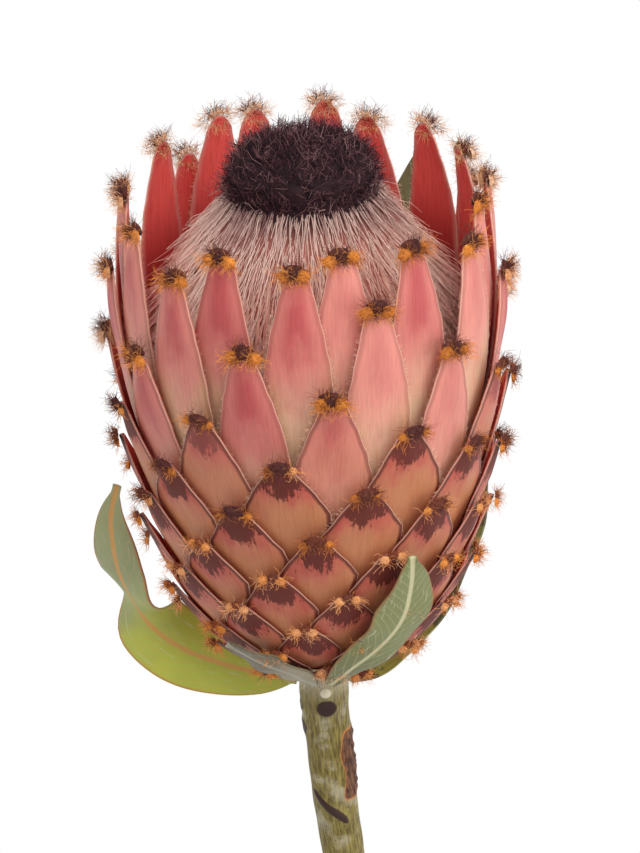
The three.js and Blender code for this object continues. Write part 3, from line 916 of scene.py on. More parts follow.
LEAVES = {
    "leaf_twisted_left": {
        "path": (
            ((-7, 4, -5), (-15, 6, -4), (-25.5, 8, -1.5), (-35, 9, 2.5), (-43, 9, 9.5), (-47, 8.5, 16.5),
             (-50, 7.5, 25), (-51, 6.5, 33), (-51, 6, 42), (-49, 6, 50)),
            ((-0.1, -1, 0.3), (0, -1, 0.35), (0.1, -1, 0.4), (0.1, -1, 0.4), (-0.4, -1, 0.5), (-1, -0.5, 0.3),
             (-0.8, -1, 0), (-0.5, -1, 0), (-0.3, -1, 0), (-0.2, -1, 0)),
        ),
        "half_width": 9.5, "cup_radius": 22, "broadest": 0.36,
        "look": {
            "Base": srgb(180, 186, 74), "Far": srgb(152, 158, 116), "Rim": srgb(178, 96, 44),
            "Rib": srgb(206, 150, 84), "Blotch": 0.12, "Scratch": 0.55, "Turn": 0.5,
        },
    },
    "leaf_front_right": {
        "path": hugging(
            ((5, 1.8, 3), (10, 2.2, 14), (22, 2.2, 23), (28, 2.2, 31), (29, 2.2, 40), (27.5, 3.2, 50.5))
        ),
        "half_width": 8.0, "cup_radius": 34, "broadest": 0.6,
        "look": {
            "Base": srgb(102, 102, 68), "Far": srgb(122, 126, 82), "Rim": srgb(150, 96, 60),
            "Rib": srgb(196, 190, 150), "Blotch": 0.25, "Scratch": 0.9, "Turn": 0.3,
        },
    },
    "leaf_remnant_left": {
        "path": hugging(((-8, 1.8, 3), (-13, 2.2, 13), (-25, 2.2, 17.5), (-38, 2.6, 23))),
        "half_width": 5.2, "cup_radius": 26, "broadest": 0.6,
        "look": {
            "Base": srgb(146, 136, 114), "Far": srgb(112, 102, 84), "Rim": srgb(70, 50, 40),
            "Rib": srgb(160, 156, 140), "Blotch": 0.5, "Scratch": 1.0, "Turn": 0.5,
        },
    },
    "leaf_blotched_right": {
        "path": (
            ((6.6, 3.5, -6), (15, 9, -2.5), (25.5, 16, 8), (34, 21, 20), (40, 24, 32), (44, 25, 45)),
            (
                (0.3, 0.3, -1), (0.4, 0.3, -1), (0.7, 0.5, -0.5), (0.8, 0.5, -0.3), (0.85, 0.5, -0.1),
                (0.85, 0.5, 0.1),
            ),
        ),
        "half_width": 9, "cup_radius": 60, "broadest": 0.45,
        "look": {
            "Base": srgb(196, 186, 60), "Far": srgb(128, 142, 66), "Rim": srgb(60, 44, 30),
            "Rib": srgb(206, 196, 110), "Blotch": 1.0, "Scratch": 0.5, "Turn": 0.45,
        },
    },
    "leaf_back_right": {
        "path": trapped(((4, 31, -1), (14, 14.5, 12), (19.5, 4, 29), (22, 0, 43), (23, 0, 62), (24.5, 0, 81),
                         (27, 0, 98), (30, 5, 112), (32.5, 11, 124))),
        "half_width": 10.5, "cup_radius": 70, "broadest": 0.45,
        "look": {
            "Base": srgb(120, 126, 72), "Far": srgb(70, 70, 60), "Rim": srgb(60, 40, 30),
            "Rib": srgb(150, 146, 100), "Blotch": 0.4, "Scratch": 0.6, "Turn": 0.5,
        },
    },
    "leaf_back_left": {
        "path": trapped(((-4, 31, -1), (-14.5, 14.5, 12), (-20, 4, 29), (-22.5, 0, 43), (-23.5, 0, 60),
                         (-25, 0, 78), (-27.5, 0, 95), (-31, 5, 107), (-34, 11, 117))),
        "half_width": 10, "cup_radius": 70, "broadest": 0.45,
        "look": {
            "Base": srgb(150, 160, 70), "Far": srgb(178, 190, 60), "Rim": srgb(120, 100, 40),
            "Rib": srgb(206, 210, 130), "Blotch": 0.15, "Scratch": 0.3, "Turn": 0.5,
        },
    },
}


def leaf_skin_group():
    """Colour and relief of a leaf from where a point is on it."""
    inputs = {
        "Along": "f", "Across": "f", "Side": "f", "Inner": "f", "Base": "c", "Far": "c", "Rim": "c", "Rib": "c",
        "Blotch": "f", "Scratch": "f", "Turn": "f",
    }

    def build(graph, given):
        place = graph.node("ShaderNodeTexCoord").outputs["Object"]
        cloud = graph.noise(place, 90.0, 3.0)
        grain = graph.noise(place, 900.0, 3.0, 0.6)
        speck = graph.noise(place, 420.0, 4.0, 0.65)
        lanes = graph.combine(
            graph.math("MULTIPLY", given["Side"], 1.4), graph.math("MULTIPLY", given["Along"], 9.0), 0.0
        )
        scratches = graph.noise(lanes, 1.0, 3.0, 0.7)
        turn = graph.math("ADD", given["Along"], graph.math("MULTIPLY_ADD", cloud, 0.3, -0.15))
        green = graph.mix(
            graph.smooth(graph.math("SUBTRACT", turn, given["Turn"]), -0.18, 0.18), given["Base"],
            given["Far"],
        )
        green = graph.mix(
            graph.math("MULTIPLY", graph.smooth(cloud, 0.3, 0.7), 0.30), green,
            graph.mix(0.4, green, srgb(70, 84, 30)),
        )
        veins = graph.math(
            "SINE",
            graph.math(
                "MULTIPLY_ADD", given["Along"], 110.0,
                graph.math("MULTIPLY", graph.math("ABSOLUTE", given["Side"]), -2.6),
            ),
        )
        green = graph.mix(graph.smooth(veins, 0.86, 1.0, 0.0, 0.25), green, given["Rib"])
        worn = graph.math("MULTIPLY", graph.smooth(scratches, 0.58, 0.70), given["Scratch"])
        green = graph.mix(graph.math("MULTIPLY", worn, 0.6), green, srgb(206, 204, 180))
        dark = graph.math(
            "MULTIPLY",
            graph.smooth(graph.math("ADD", scratches, graph.math("MULTIPLY", speck, 0.4)), 0.42, 0.30),
            given["Scratch"],
        )
        green = graph.mix(graph.math("MULTIPLY", dark, 0.7), green, srgb(66, 58, 44))
        level = graph.math("MULTIPLY_ADD", given["Blotch"], -0.22, 0.70)
        blot = graph.math(
            "SUBTRACT", graph.math("MULTIPLY_ADD", speck, 0.4, graph.math("MULTIPLY", cloud, 0.6)), level
        )
        green = graph.mix(
            graph.math("MULTIPLY", graph.smooth(blot, 0.0, 0.03), 0.93), green, srgb(40, 28, 22)
        )
        rib = graph.smooth(graph.math("ABSOLUTE", given["Side"]), 0.35, 0.85, 0.85, 0.0)
        green = graph.mix(rib, green, given["Rib"])
        edge = graph.smooth(graph.math("ABSOLUTE", given["Across"]), 0.92, 0.98, 0.0, 0.6)
        green = graph.mix(edge, green, given["Rim"])
        green = graph.mix(graph.math("MULTIPLY", given["Inner"], 0.3), green, srgb(170, 176, 120))
        return {"Colour": green, "Relief": graph.math("ADD", grain, graph.math("MULTIPLY", veins, 0.15))}

    return shader_group("leaf_skin", inputs, {"Colour": "c", "Relief": "f"}, build)


def leaf_material(group, name, look):
    """Skin of one leaf, with its own colours and wear."""

    def build(graph):
        skin = use_group(
            graph, group, Along=attribute(graph, "along"), Across=attribute(graph, "across"),
            Side=attribute(graph, "side"), Inner=attribute(graph, "inner"), **look
        )
        bump = graph.node(
            "ShaderNodeBump", {"Height": skin["Relief"], "Strength": 0.25, "Distance": 0.0003}
        )
        return {"Base Color": skin["Colour"], "Normal": bump.outputs[0]}

    return material(
        name, build, Roughness=0.55, Subsurface_Weight=0.08, Subsurface_Scale=0.002,
        Specular_IOR_Level=0.35,
    )


def leaf_shell(path, half_width, cup_radius, broadest, rng, rows=64, columns=17):
    """Points, faces and attributes of one leaf along its spine, in the flower's frame."""
    spine, faces = path
    at = np.linspace(0, 1, rows)
    place, tangent = spline(spine, at)
    normal, _ = spline(unit(np.array(faces, float)), at)
    normal = unit(normal - (normal * tangent).sum(1, keepdims=True) * tangent)
    across = np.cross(tangent, normal)
    rise = np.where(at < broadest, at / broadest, (1 - at) / (1 - broadest))
    width = half_width * np.maximum(0.12, np.sin(np.pi / 2 * rise) ** 0.8)
    share = np.sin(np.pi / 2 * np.linspace(-1, 1, columns))
    side = width[:, None] * share[None, :]
    phase = rng.uniform(0, 6)
    ripple = 0.5 * np.sin(at * 19 + phase)[:, None] * np.abs(share)[None, :] ** 2 * np.sign(share)[None, :]
    groove = -0.22 * np.exp(-((side / 0.7) ** 2))
    sink = side**2 / (2 * cup_radius)
    outer = place[:, None] + across[:, None] * side[..., None] + normal[:, None] * (ripple + groove - sink)[..., None]
    ridge = 0.75 - 0.25 * np.abs(share)[None, :] ** 4 + 0.55 * np.exp(-((side / 0.8) ** 2)) * (1 - at)[:, None]
    inner = outer - normal[:, None] * ridge[..., None]
    points = np.vstack((outer.reshape(-1, 3), inner.reshape(-1, 3)))
    count = rows * columns

    def both(values):
        flat = np.broadcast_to(values, (rows, columns)).ravel()
        return np.concatenate((flat, flat))

    attributes = {
        "along": both(at[:, None]),
        "across": both(share[None, :]),
        "side": both(side),
        "inner": np.concatenate((np.zeros(count), np.ones(count))),
    }
    return points, faces_out(points, plate_faces(rows, columns)), attributes


# ---------------------------------------------------------------- stem and floret core

def stem_shell(sides=64, steps=120):
    """The stem with its scars and torn bark, and the cone under the head."""
    heights = np.concatenate((np.linspace(-STEM_LENGTH, 0, steps), np.linspace(0.8, 16, 14)))
    angles = np.linspace(-np.pi, np.pi, sides, endpoint=False)
    cone = along(((0, STEM_RADIUS),) + RECEPTACLE, heights)
    radius = np.where(heights <= 0, STEM_RADIUS + STEM_NARROW * heights, cone)
    a, h = np.meshgrid(angles, heights)
    r = np.repeat(radius[:, None], sides, 1)

    def bump(angle, height, wide, tall):
        away = ((np.degrees(a) - angle) / wide) ** 2 + ((h - height) / tall) ** 2
        return np.exp(-away)

    scar = bump(2, -8, 24, 2.4) + 0.9 * bump(-78, -15, 22, 2.0) + 0.8 * bump(-84, -9.5, 16, 1.3)
    slant = h + 37.5 + (np.degrees(a) + 10) * 0.09
    notch = np.exp(-((slant / 1.5) ** 2)) * smoothstep(np.degrees(a), -75, -45) * (
        1 - smoothstep(np.degrees(a), 15, 40)
    )
    bark_wide = 1 - smoothstep(np.abs(np.degrees(a) - 62 + 6 * np.sin(h * 0.5)), 20, 34)
    bark = bark_wide * smoothstep(h, -37, -33) * (1 - smoothstep(h, -18, -14))
    bud = bump(2, -3.6, 14, 1.3)
    lumps = 0.10 * np.sin(3 * a + 0.11 * h) + 0.08 * np.sin(5 * a - 0.23 * h + 1) + 0.06 * np.sin(0.55 * h + 2 * a)
    collar = 0.5 * np.exp(-(((h + 6) / 3) ** 2)) * (0.5 + 0.5 * np.cos(a))
    ragged = 0.35 * np.sin(a * 31 + np.sin(h * 0.9) * 2) * np.sin(h * 0.37 + a * 5)
    head = 1 - smoothstep(h, 0, 2)
    r = r + head * (
        lumps + collar + 0.9 * scar - 0.9 * scar**3 + 0.7 * notch + bark * (0.55 + ragged) + 0.9 * bud
    )
    lift = STEM_CUT_SLANT * r * np.cos(a) * np.clip(1 - (h + STEM_LENGTH) / 6, 0, 1)
    points = polar(a, r, h + lift)
    points[..., 0] += STEM_BEND * np.minimum(0, h) ** 2
    rows = len(heights)
    flat = points.reshape(-1, 3)
    low = flat[:sides].mean(0) + np.array((0, 0, 0.4))
    top = flat[-sides:].mean(0)
    flat = np.vstack((flat, low, top))
    i, j = (grid.ravel() for grid in np.meshgrid(np.arange(rows - 1), np.arange(sides), indexing="ij"))
    k = (j + 1) % sides
    quads = np.stack((i * sides + j, i * sides + k, (i + 1) * sides + k, (i + 1) * sides + j), 1).tolist()
    for j in range(sides):
        k = (j + 1) % sides
        quads.append((rows * sides, k, j))
        quads.append((rows * sides + 1, (rows - 1) * sides + j, (rows - 1) * sides + k))

    def fit(grid):
        return np.concatenate((grid.ravel(), (0, 0)))

    attributes = {
        "scar": fit(np.clip(scar + notch, 0, 1.4)),
        "bark": fit(bark),
        "height": np.concatenate((h.ravel(), (-STEM_LENGTH, 16))),
        "turn": fit(a),
        "cut": np.concatenate((np.zeros(rows * sides), (1, 0))),
        "bud": fit(bud),
    }
    return flat, quads, attributes


def stem_material():
    """Green stem with bloom, leaf scars and torn bark."""

    def build(graph):
        place = graph.node("ShaderNodeTexCoord").outputs["Object"]
        height = attribute(graph, "height")
        turn = attribute(graph, "turn")
        lanes = graph.combine(
            graph.math("MULTIPLY", turn, 9.0), graph.math("MULTIPLY", height, 0.22), 0.0
        )
        streak = graph.noise(lanes, 1.0, 4.0, 0.65)
        cloud = graph.noise(place, 160.0, 3.0)
        speck = graph.noise(place, 1500.0, 2.0)
        green = graph.mix(graph.smooth(streak, 0.35, 0.65), srgb(88, 76, 30), srgb(142, 126, 66))
        bloom = graph.math("MULTIPLY", graph.smooth(cloud, 0.50, 0.68), 0.25)
        green = graph.mix(bloom, green, srgb(228, 222, 204))
        green = graph.mix(graph.smooth(speck, 0.66, 0.72, 0.0, 0.8), green, srgb(60, 40, 28))
        green = graph.mix(graph.smooth(height, -8.0, 0.0, 0.0, 0.5), green, srgb(214, 204, 176))
        bark = graph.math("ADD", attribute(graph, "bark"), graph.math("MULTIPLY_ADD", streak, 0.8, -0.4))
        torn = graph.mix(graph.smooth(streak, 0.35, 0.7), srgb(58, 32, 22), srgb(134, 88, 60))
        green = graph.mix(graph.smooth(bark, 0.22, 0.42, 0.0, 0.9), green, srgb(190, 116, 50))
        green = graph.mix(graph.smooth(bark, 0.42, 0.58), green, torn)
        scar = graph.math("ADD", attribute(graph, "scar"), graph.math("MULTIPLY_ADD", cloud, 0.5, -0.25))
        green = graph.mix(graph.smooth(scar, 0.30, 0.46), green, srgb(52, 28, 22))
        green = graph.mix(
            graph.smooth(attribute(graph, "bud"), 0.3, 0.6, 0.0, 0.9), green, srgb(222, 214, 186)
        )
        green = graph.mix(graph.smooth(attribute(graph, "cut"), 0.05, 0.3), green, srgb(206, 190, 136))
        relief = graph.math("ADD", streak, graph.math("MULTIPLY", speck, 0.3))
        bump = graph.node("ShaderNodeBump", {"Height": relief, "Strength": 0.4, "Distance": 0.0005})
        return {"Base Color": green, "Normal": bump.outputs[0]}

    return material("stem_skin", build, Roughness=0.6, Specular_IOR_Level=0.35)


def core_material():
    """The dome between the strands: brownish red, nearly black at the crown."""

    def build(graph):
        place = graph.node("ShaderNodeTexCoord").outputs["Object"]
        mottle = graph.noise(place, 500.0, 3.0)
        rows = attribute(graph, "height")
        body = graph.mix(mottle, srgb(126, 62, 56), srgb(186, 120, 106))
        crown = graph.mix(mottle, srgb(24, 12, 16), srgb(58, 34, 40))
        return {"Base Color": graph.mix(graph.smooth(rows, 120.0, 128.0), body, crown)}

    return material("floret_skin", build, Roughness=0.8, Specular_IOR_Level=0.2)


def strap_parts(rng, count=84):
    """Narrow florets that stand against the dome, under the silky hair."""
    parts = []
    for i in range(count):
        angle = 2 * math.pi * (i + rng.uniform(-0.3, 0.3)) / count
        rows, columns = 14, 4
        top = 112 + rng.uniform(-6, 8)
        heights = np.linspace(30, top, rows)
        dome = along([(h, r) for r, h in FLORET_DOME[3:8]], heights)
        radius = dome - 0.4 + rng.uniform(0.0, 1.2) - 0.06 * np.maximum(0, heights - 95)
        share = np.linspace(-1, 1, columns)
        width = 1.15 * (1 - np.linspace(0, 1, rows) ** 5) + 0.12
        turn = angle + np.radians(rng.uniform(-2, 2)) * np.linspace(0, 1, rows)
        a = turn[:, None] + share[None, :] * (width / radius)[:, None]
        outer = polar(a, radius[:, None] + 0.3 * (1 - share[None, :] ** 2), heights[:, None])
        inner = polar(a, radius[:, None] - 0.4, heights[:, None])
        points = np.vstack((outer.reshape(-1, 3), inner.reshape(-1, 3)))
        flat = np.broadcast_to(heights[:, None], (rows, columns)).ravel()
        attributes = {
            "height": np.concatenate((flat, flat)), "shade": np.full(2 * rows * columns, rng.uniform())
        }
        parts.append((points, faces_out(points, plate_faces(rows, columns)), attributes))
    return parts


def strap_material():
    """Cream and pink florets, brown lower down."""

    def build(graph):
        height = attribute(graph, "height")
        shade = attribute(graph, "shade")
        pale = graph.mix(shade, srgb(236, 214, 190), srgb(214, 150, 132))
        return {"Base Color": graph.mix(graph.smooth(height, 60.0, 96.0), srgb(150, 84, 70), pale)}

    return material("strap_skin", build, Roughness=0.6, Specular_IOR_Level=0.3)


def fringe_parts(rows=9):
    """Strips along the margins of the long bracts, for short pale hairs."""
    parts = []
    for index in range(FIRST_LONG_BRACT, LAST_BRACT + 1):
        tip = tip_height(index)
        heights = np.linspace(tip - 34, tip - 1.5, rows)
        radius = layer_radius(index, heights)
        width = half_width(index, tip - heights)
        reach = np.minimum(np.arcsin(np.minimum(0.9, width / radius)), math.radians(BLADE_ANGLE))
        for side in (-1, 1):
            angle = bract_angle(index) + side * reach
            inward = bract_angle(index) + side * (reach - 0.25 / radius)
            points = np.vstack(
                (polar(angle, radius - 0.3, heights), polar(inward, radius - 0.1, heights))
            )
            tangential = np.stack((np.cos(angle), np.sin(angle), np.zeros(rows)), 1) * side
            flow = unit(tangential + np.array((0, 0, 0.6)) + 0.25 * polar(angle, 1.0, 0.0))
            i = np.arange(rows - 1)
            faces = np.stack((i, i + 1, rows + i + 1, rows + i), 1)
            attributes = {"flow": np.vstack((flow, flow))}
            for key, value in (("reach", 0.95), ("shade", 0.85), ("dense", 1.0)):
                attributes[key] = np.full(2 * rows, value)
            parts.append((points, faces, attributes))
    return parts


# ---------------------------------------------------------------- the add-on

class ProteaSettings(bpy.types.PropertyGroup):
    bract_rows: bpy.props.IntProperty(
        name="Bract rows", description="Rows of faces along a long bract", default=26
    )
    bract_columns: bpy.props.IntProperty(
        name="Bract columns", description="Points across a bract", default=15
    )
    tuft_size: bpy.props.FloatProperty(
        name="Tuft size", description="Size of the wool at the bract tips", default=1.18
    )
    tuft_density: bpy.props.FloatProperty(
        name="Tuft density", description="Strands per square metre of tuft", default=3.9e6)
    crown_density: bpy.props.FloatProperty(
        name="Crown density", description="Strands per square metre of dark wool", default=2.9e6)
    skirt_density: bpy.props.FloatProperty(
        name="Skirt density", description="Strands per square metre of silky hair", default=0.56e6)
    key_power: bpy.props.FloatProperty(
        name="Key light", description="Power of the key light", default=4.2, unit="POWER"
    )
    fill: bpy.props.FloatProperty(
        name="Fill", description="Strength of the even light all round", default=0.74
    )
    lens: bpy.props.FloatProperty(name="Lens", description="Focal length", default=173.0, unit="CAMERA")
    distance: bpy.props.FloatProperty(
        name="Distance", description="Camera to the middle of the flower", default=1.0, subtype="DISTANCE", unit="LENGTH")


class PROTEA_OT_bracts(bpy.types.Operator):
    """Fifty long bracts, each its own piece"""

    bl_idname = "protea.bracts"
    bl_label = "Long bracts"

    def execute(self, context):
        settings = context.scene.protea
        skin = bract_material(bpy.data.node_groups["bract_skin"], "bract_skin")
        for index in range(FIRST_LONG_BRACT, LAST_BRACT + 1):
            rng = np.random.default_rng(500 + index)
            points, faces, attributes = bract_shell(
                index, LONG_BRACT_BASE, settings.bract_rows, settings.bract_columns, rng
            )
            number = index - FIRST_LONG_BRACT + 1
            blade = mesh_object(f"bract_blade_{number:02d}", to_row(points), faces, attributes, skin)
            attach(blade, "root")
            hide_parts(f"bract_{number:02d}")
        return {"FINISHED"}


class PROTEA_OT_scales(bpy.types.Operator):
    """The rows of short scales at the base of the head"""

    bl_idname = "protea.scales"
    bl_label = "Basal scales"

    def execute(self, context):
        skin = bract_material(bpy.data.node_groups["bract_skin"], "scale_skin")
        parts = []
        for index in range(FIRST_BRACT, FIRST_LONG_BRACT):
            base = max(CUP_BOTTOM + 0.8, min(tip_height(index) - SCALE_LENGTH, SCALE_BASE))
            rng = np.random.default_rng(500 + index)
            parts.append(bract_shell(index, base, 18, 11, rng))
        points, faces, attributes = joined(parts)
        scales = mesh_object("basal_scale_rows", to_row(points), faces, attributes, skin)
        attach(scales, "root")
        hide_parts("basal_scales")
        return {"FINISHED"}


class PROTEA_OT_florets(bpy.types.Operator):
    """The dome of florets under the hair"""

    bl_idname = "protea.florets"
    bl_label = "Florets"

    def execute(self, context):
        profile = [(0.01, 17)] + [tuple(pair) for pair in FLORET_DOME[1:-1]] + [(0.01, 141)]
        share = np.linspace(0, len(profile) - 1, 60)
        radius = along(
            [(i, r) for i, (r, h) in enumerate(profile)], share
        ) - 0.8 * smoothstep(share, 0, 2)
        height = along(
            [(i, h) for i, (r, h) in enumerate(profile)], share
        ) - 0.6 * smoothstep(share, 8, 10)
        points, faces = lathe(list(zip(np.maximum(radius, 0.01), height)), 72)
        core = mesh_object(
            "floret_core", to_row(points), faces, {"height": points[:, 2]}, core_material()
        )
        points, faces, attributes = joined(strap_parts(np.random.default_rng(21)))
        straps = mesh_object("floret_straps", to_row(points), faces, attributes, strap_material())
        for piece in (core, straps):
            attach(piece, "root")
            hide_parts("floret_dome")
        return {"FINISHED"}


class PROTEA_OT_crown(bpy.types.Operator):
    """Dark curly wool on the crown and silky hair that flares below it"""

    bl_idname = "protea.crown"
    bl_label = "Crown and silky hair"

    def execute(self, context):
        settings = context.scene.protea
        tree = bpy.data.node_groups["bristle"]
        wool = hair_material("crown_wool", CROWN_PALETTE, 1.2)
        silk = hair_material("silky_hair", SKIRT_PALETTE, 1.1, 0.55)
        top = (
            (17.4, 127.5), (16.4, 129.5), (16.0, 131.5), (15.2, 135), (12.4, 138), (8, 139.4),
            (0.05, 139.8),
        )
        crown = grow(
            "crown_wool",
            [profile_emitter(
                top, 40, 0.35, 0.85,
                lambda a, h: 3.3 + 1.2 * (h < 129),
                lambda a, h: 0.34 + 0.16 * (h < 129) + 0.08 * np.sin(a * 7),
                lambda a, h: 1.0 if h > 122 else 0.5,
            )],
            tree, wool, Variation=1.0, Density=settings.crown_density, Thickness=1.1e-4, Curl=0.0050, Curl_Scale=380.0, Clump=0.25,
            Clump_Scale=420.0, Spread=0.55, Points=5, Seed=11, Taper=0.6,
        )
        sides = (
            (16.8, 129.5), (18.6, 126), (22.0, 120), (26.0, 113), (29.6, 104.5), (31.2, 94), (31.2, 80)
        )
        skirt = grow(
            "silky_skirt",
            [profile_emitter(
                sides, 60, 1.0, -0.20,
                lambda a, h: lerp(14.0, 19.0, smoothstep(h, 85, 118)) - 8 * smoothstep(h, 122, 129),
                lambda a, h: np.clip(
                    lerp(0.80, 0.34, smoothstep(h, 120, 129)) + 0.08 * np.sin(3 * a + 1), 0, 0.85
                ),
                lambda a, h: lerp(0.6, 1.8, smoothstep(h, 84, 108)) + 0.8 * smoothstep(h, 118, 126),
            )],
            tree, silk, Variation=0.35, Density=settings.skirt_density, Thickness=1.7e-4, Curl=0.0030, Curl_Scale=150.0, Clump=0.62,
            Clump_Scale=330.0, Spread=0.16, Points=5, Seed=5, Taper=0.8,
        )
        for piece in (crown, skirt):
            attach(piece, "root")
            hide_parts("floret_dome")
        return {"FINISHED"}


class PROTEA_OT_tufts(bpy.types.Operator):
    """Woolly tufts at the bract tips, and the hairs along the margins"""

    bl_idname = "protea.tufts"
    bl_label = "Tufts and fringes"

    def execute(self, context):
        settings = context.scene.protea
        tree = bpy.data.node_groups["bristle"]
        wool = hair_material("tuft_wool", TUFT_PALETTE, 1.25)
        for name, first, last, seed in (
            ("tufts_upper", 46, LAST_BRACT, 31), ("tufts_middle", 14, 45, 32), (
                "tufts_lower", FIRST_BRACT, 13, 33
            ),
        ):
            rng = np.random.default_rng(seed)
            parts = [
                part for index in range(first, last + 1) for part in tuft_patches(
                    index, rng, settings.tuft_size
                )
            ]
            tufts = grow(
                name, parts, tree, wool, Density=settings.tuft_density, Thickness=6.5e-5, Curl=0.0030, Curl_Scale=620.0,
                Clump=0.2, Clump_Scale=520.0, Spread=0.8, Points=4, Seed=seed, Taper=0.6,
            )
            shown = [part for part in parts if part[0][:, 1].mean() < 22]
            hearts = joined(shown)
            heart = mesh_object(name + "_hearts", to_row(hearts[0]), hearts[1], None, wool)
            shades = hearts[2]["shade"][hearts[1].ravel()]
            mapped = heart.data.attributes.new("OFBake", "FLOAT2", "CORNER")
            mapped.data.foreach_set(
                "vector", np.stack((shades, np.full(len(shades), 0.1)), 1).ravel().astype(np.float32)
            )
            for piece in (tufts, heart):
                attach(piece, "root")
        fringe = grow(
            "margin_fringe", fringe_parts(), tree, wool, Density=5e6, Thickness=4.5e-5,
            Curl=0.0003, Curl_Scale=900.0, Clump=0.0, Spread=0.25, Points=2, Seed=9, Taper=0.7,
        )
        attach(fringe, "root")
        return {"FINISHED"}


class PROTEA_OT_leaves(bpy.types.Operator):
    """The six leaves round the head"""

    bl_idname = "protea.leaves"
    bl_label = "Leaves"

    def execute(self, context):
        group = bpy.data.node_groups["leaf_skin"]
        for place, (node, leaf) in enumerate(LEAVES.items()):
            rng = np.random.default_rng(70 + place)
            points, faces, attributes = leaf_shell(
                leaf["path"], leaf["half_width"], leaf["cup_radius"], leaf["broadest"], rng)
            look = leaf_material(group, node + "_skin", leaf["look"])
            blade = mesh_object(
                node.replace("leaf_", "leaf_blade_"), to_row(points), faces, attributes, look
            )
            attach(blade, "root")
            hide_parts(node)
        return {"FINISHED"}


class PROTEA_OT_stem(bpy.types.Operator):
    """The cut stem and the woolly collar at the base of the head"""

    bl_idname = "protea.stem"
    bl_label = "Stem"

    def execute(self, context):
        points, faces, attributes = stem_shell()
        stem = mesh_object("stem_skin", to_row(points), faces, attributes, stem_material())
        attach(stem, "root")
        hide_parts("stem_and_receptacle")
        wool = hair_material("collar_wool", WOOL_PALETTE, 1.05)
        ring = profile_emitter(
            ((6.4, -2.0), (6.6, 0.5), (8.5, 3.0), (13.5, 5.5)), 36, 0.3, 0.8,
            lambda a, h: 2.6, lambda a, h: 0.5, lambda a, h: 0.5 + 0.5 * np.cos(a),
        )
        collar = grow(
            "woolly_collar", [ring], bpy.data.node_groups["bristle"], wool, Density=2.2e6, Thickness=5e-5, Curl=0.003,
            Curl_Scale=300.0, Clump=0.3, Clump_Scale=350.0, Spread=0.7, Points=4, Seed=41, Taper=0.5,
        )
        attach(collar, "root")
        return {"FINISHED"}


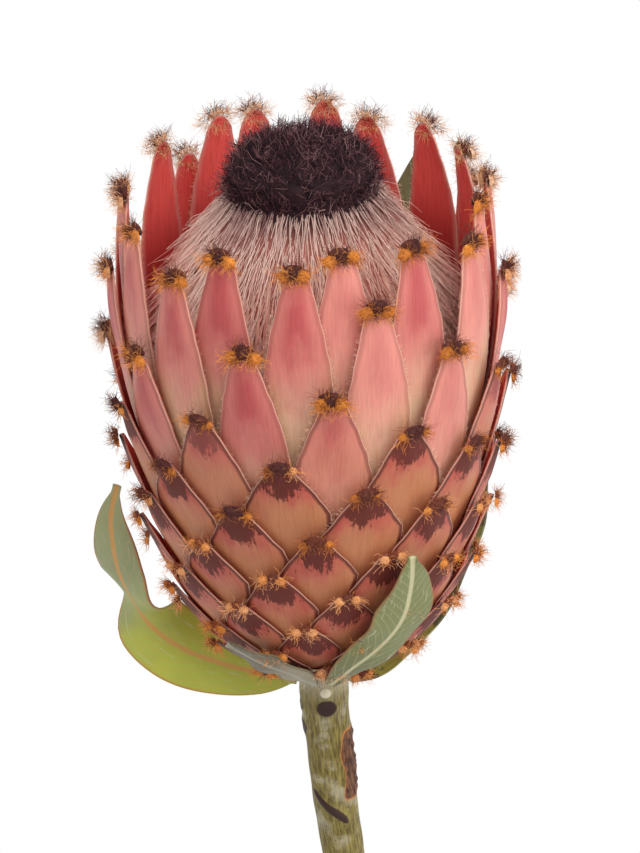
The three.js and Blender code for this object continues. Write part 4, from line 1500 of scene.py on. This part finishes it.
class PROTEA_OT_stage(bpy.types.Operator):
    """White surface, even light and the camera that looks down on the flower"""

    bl_idname = "protea.stage"
    bl_label = "Stage"

    def execute(self, context):
        settings = context.scene.protea
        scene = context.scene
        white = bpy.data.materials.new("white_surface")
        white.use_nodes = True
        shader = white.node_tree.nodes["Principled BSDF"]
        shader.inputs["Base Color"].default_value = (0, 0, 0, 1)
        shader.inputs["Specular IOR Level"].default_value = 0
        shader.inputs["Emission Color"].default_value = (1, 1, 1, 1)
        shader.inputs["Emission Strength"].default_value = 1.0
        corners = [(-4, -4, -0.001), (4, -4, -0.001), (4, 4, -0.001), (-4, 4, -0.001)]
        floor = mesh_object("white_table", corners, [(0, 1, 2, 3)], material=white)

        world = bpy.data.worlds.new("even_light")
        world.use_nodes = True
        background = world.node_tree.nodes["Background"]
        background.inputs["Color"].default_value = (1.0, 0.99, 0.98, 1)
        background.inputs["Strength"].default_value = settings.fill
        scene.world = world

        rise = math.radians(CAMERA_ELEVATION)
        lean = math.radians(CAMERA_LEAN)
        back = np.array((0, -math.cos(rise), math.sin(rise)))
        right = np.array((1.0, 0.0, 0.0))
        up = np.cross(back, right)
        shown_right = right * math.cos(lean) - up * math.sin(lean)
        shown_up = right * math.sin(lean) + up * math.cos(lean)
        target = np.array((0, 0, CAMERA_TARGET_HEIGHT)) + 1.7 * shown_right + 0.4 * shown_up
        axes = turn_to_row(np.array((shown_right, shown_up, back)))
        camera_data = bpy.data.cameras.new("camera")
        camera_data.lens = settings.lens
        camera_data.sensor_width = 36.0
        camera_data.clip_start = 0.05
        camera = bpy.data.objects.new("camera", camera_data)
        scene.collection.objects.link(camera)
        centre = to_row(target)
        matrix = Matrix.Identity(4)
        for column in range(3):
            for row in range(3):
                matrix[row][column] = axes[column][row]
        for row in range(3):
            matrix[row][3] = centre[row] + axes[2][row] * settings.distance
        camera.matrix_world = matrix
        scene.camera = camera

        for name, aim, power, size in (
            ("key", (0.25, 0.45, 0.85), settings.key_power, 0.6),
            ("side", (0.9, -0.1, 0.5), settings.key_power * 0.45, 0.5),
        ):
            light_data = bpy.data.lights.new(name, "AREA")
            light_data.energy = power
            light_data.size = size
            light = bpy.data.objects.new(name, light_data)
            scene.collection.objects.link(light)
            direction = unit(np.array(aim) @ axes)
            light.location = Vector(centre + direction * 0.8)
            light.rotation_euler = Vector(direction).to_track_quat("Z", "Y").to_euler()
        scene.view_settings.view_transform = "Standard"
        return {"FINISHED"}


class PROTEA_PT_panel(bpy.types.Panel):
    """The steps that build the flower"""

    bl_label = "Protea"
    bl_idname = "PROTEA_PT_panel"
    bl_space_type = "VIEW_3D"
    bl_region_type = "UI"
    bl_category = "Protea"

    def draw(self, context):
        layout = self.layout
        settings = context.scene.protea
        for name in ProteaSettings.__annotations__:
            layout.prop(settings, name)
        for operator in OPERATORS:
            layout.operator(operator.bl_idname)


OPERATORS = (
    PROTEA_OT_bracts, PROTEA_OT_scales, PROTEA_OT_florets, PROTEA_OT_crown, PROTEA_OT_tufts, PROTEA_OT_leaves,
    PROTEA_OT_stem, PROTEA_OT_stage,
)
CLASSES = (ProteaSettings,) + OPERATORS + (PROTEA_PT_panel,)


def register():
    for made in CLASSES:
        bpy.utils.register_class(made)
    bpy.types.Scene.protea = bpy.props.PointerProperty(type=ProteaSettings)


def unregister():
    del bpy.types.Scene.protea
    for made in reversed(CLASSES):
        bpy.utils.unregister_class(made)


def main():
    register()
    bract_skin_group()
    leaf_skin_group()
    bristle_tree()
    bpy.ops.protea.bracts()
    bpy.ops.protea.scales()
    bpy.ops.protea.florets()
    bpy.ops.protea.crown()
    bpy.ops.protea.tufts()
    bpy.ops.protea.leaves()
    bpy.ops.protea.stem()
    bpy.ops.protea.stage()


if __name__ == "__main__":
    main()
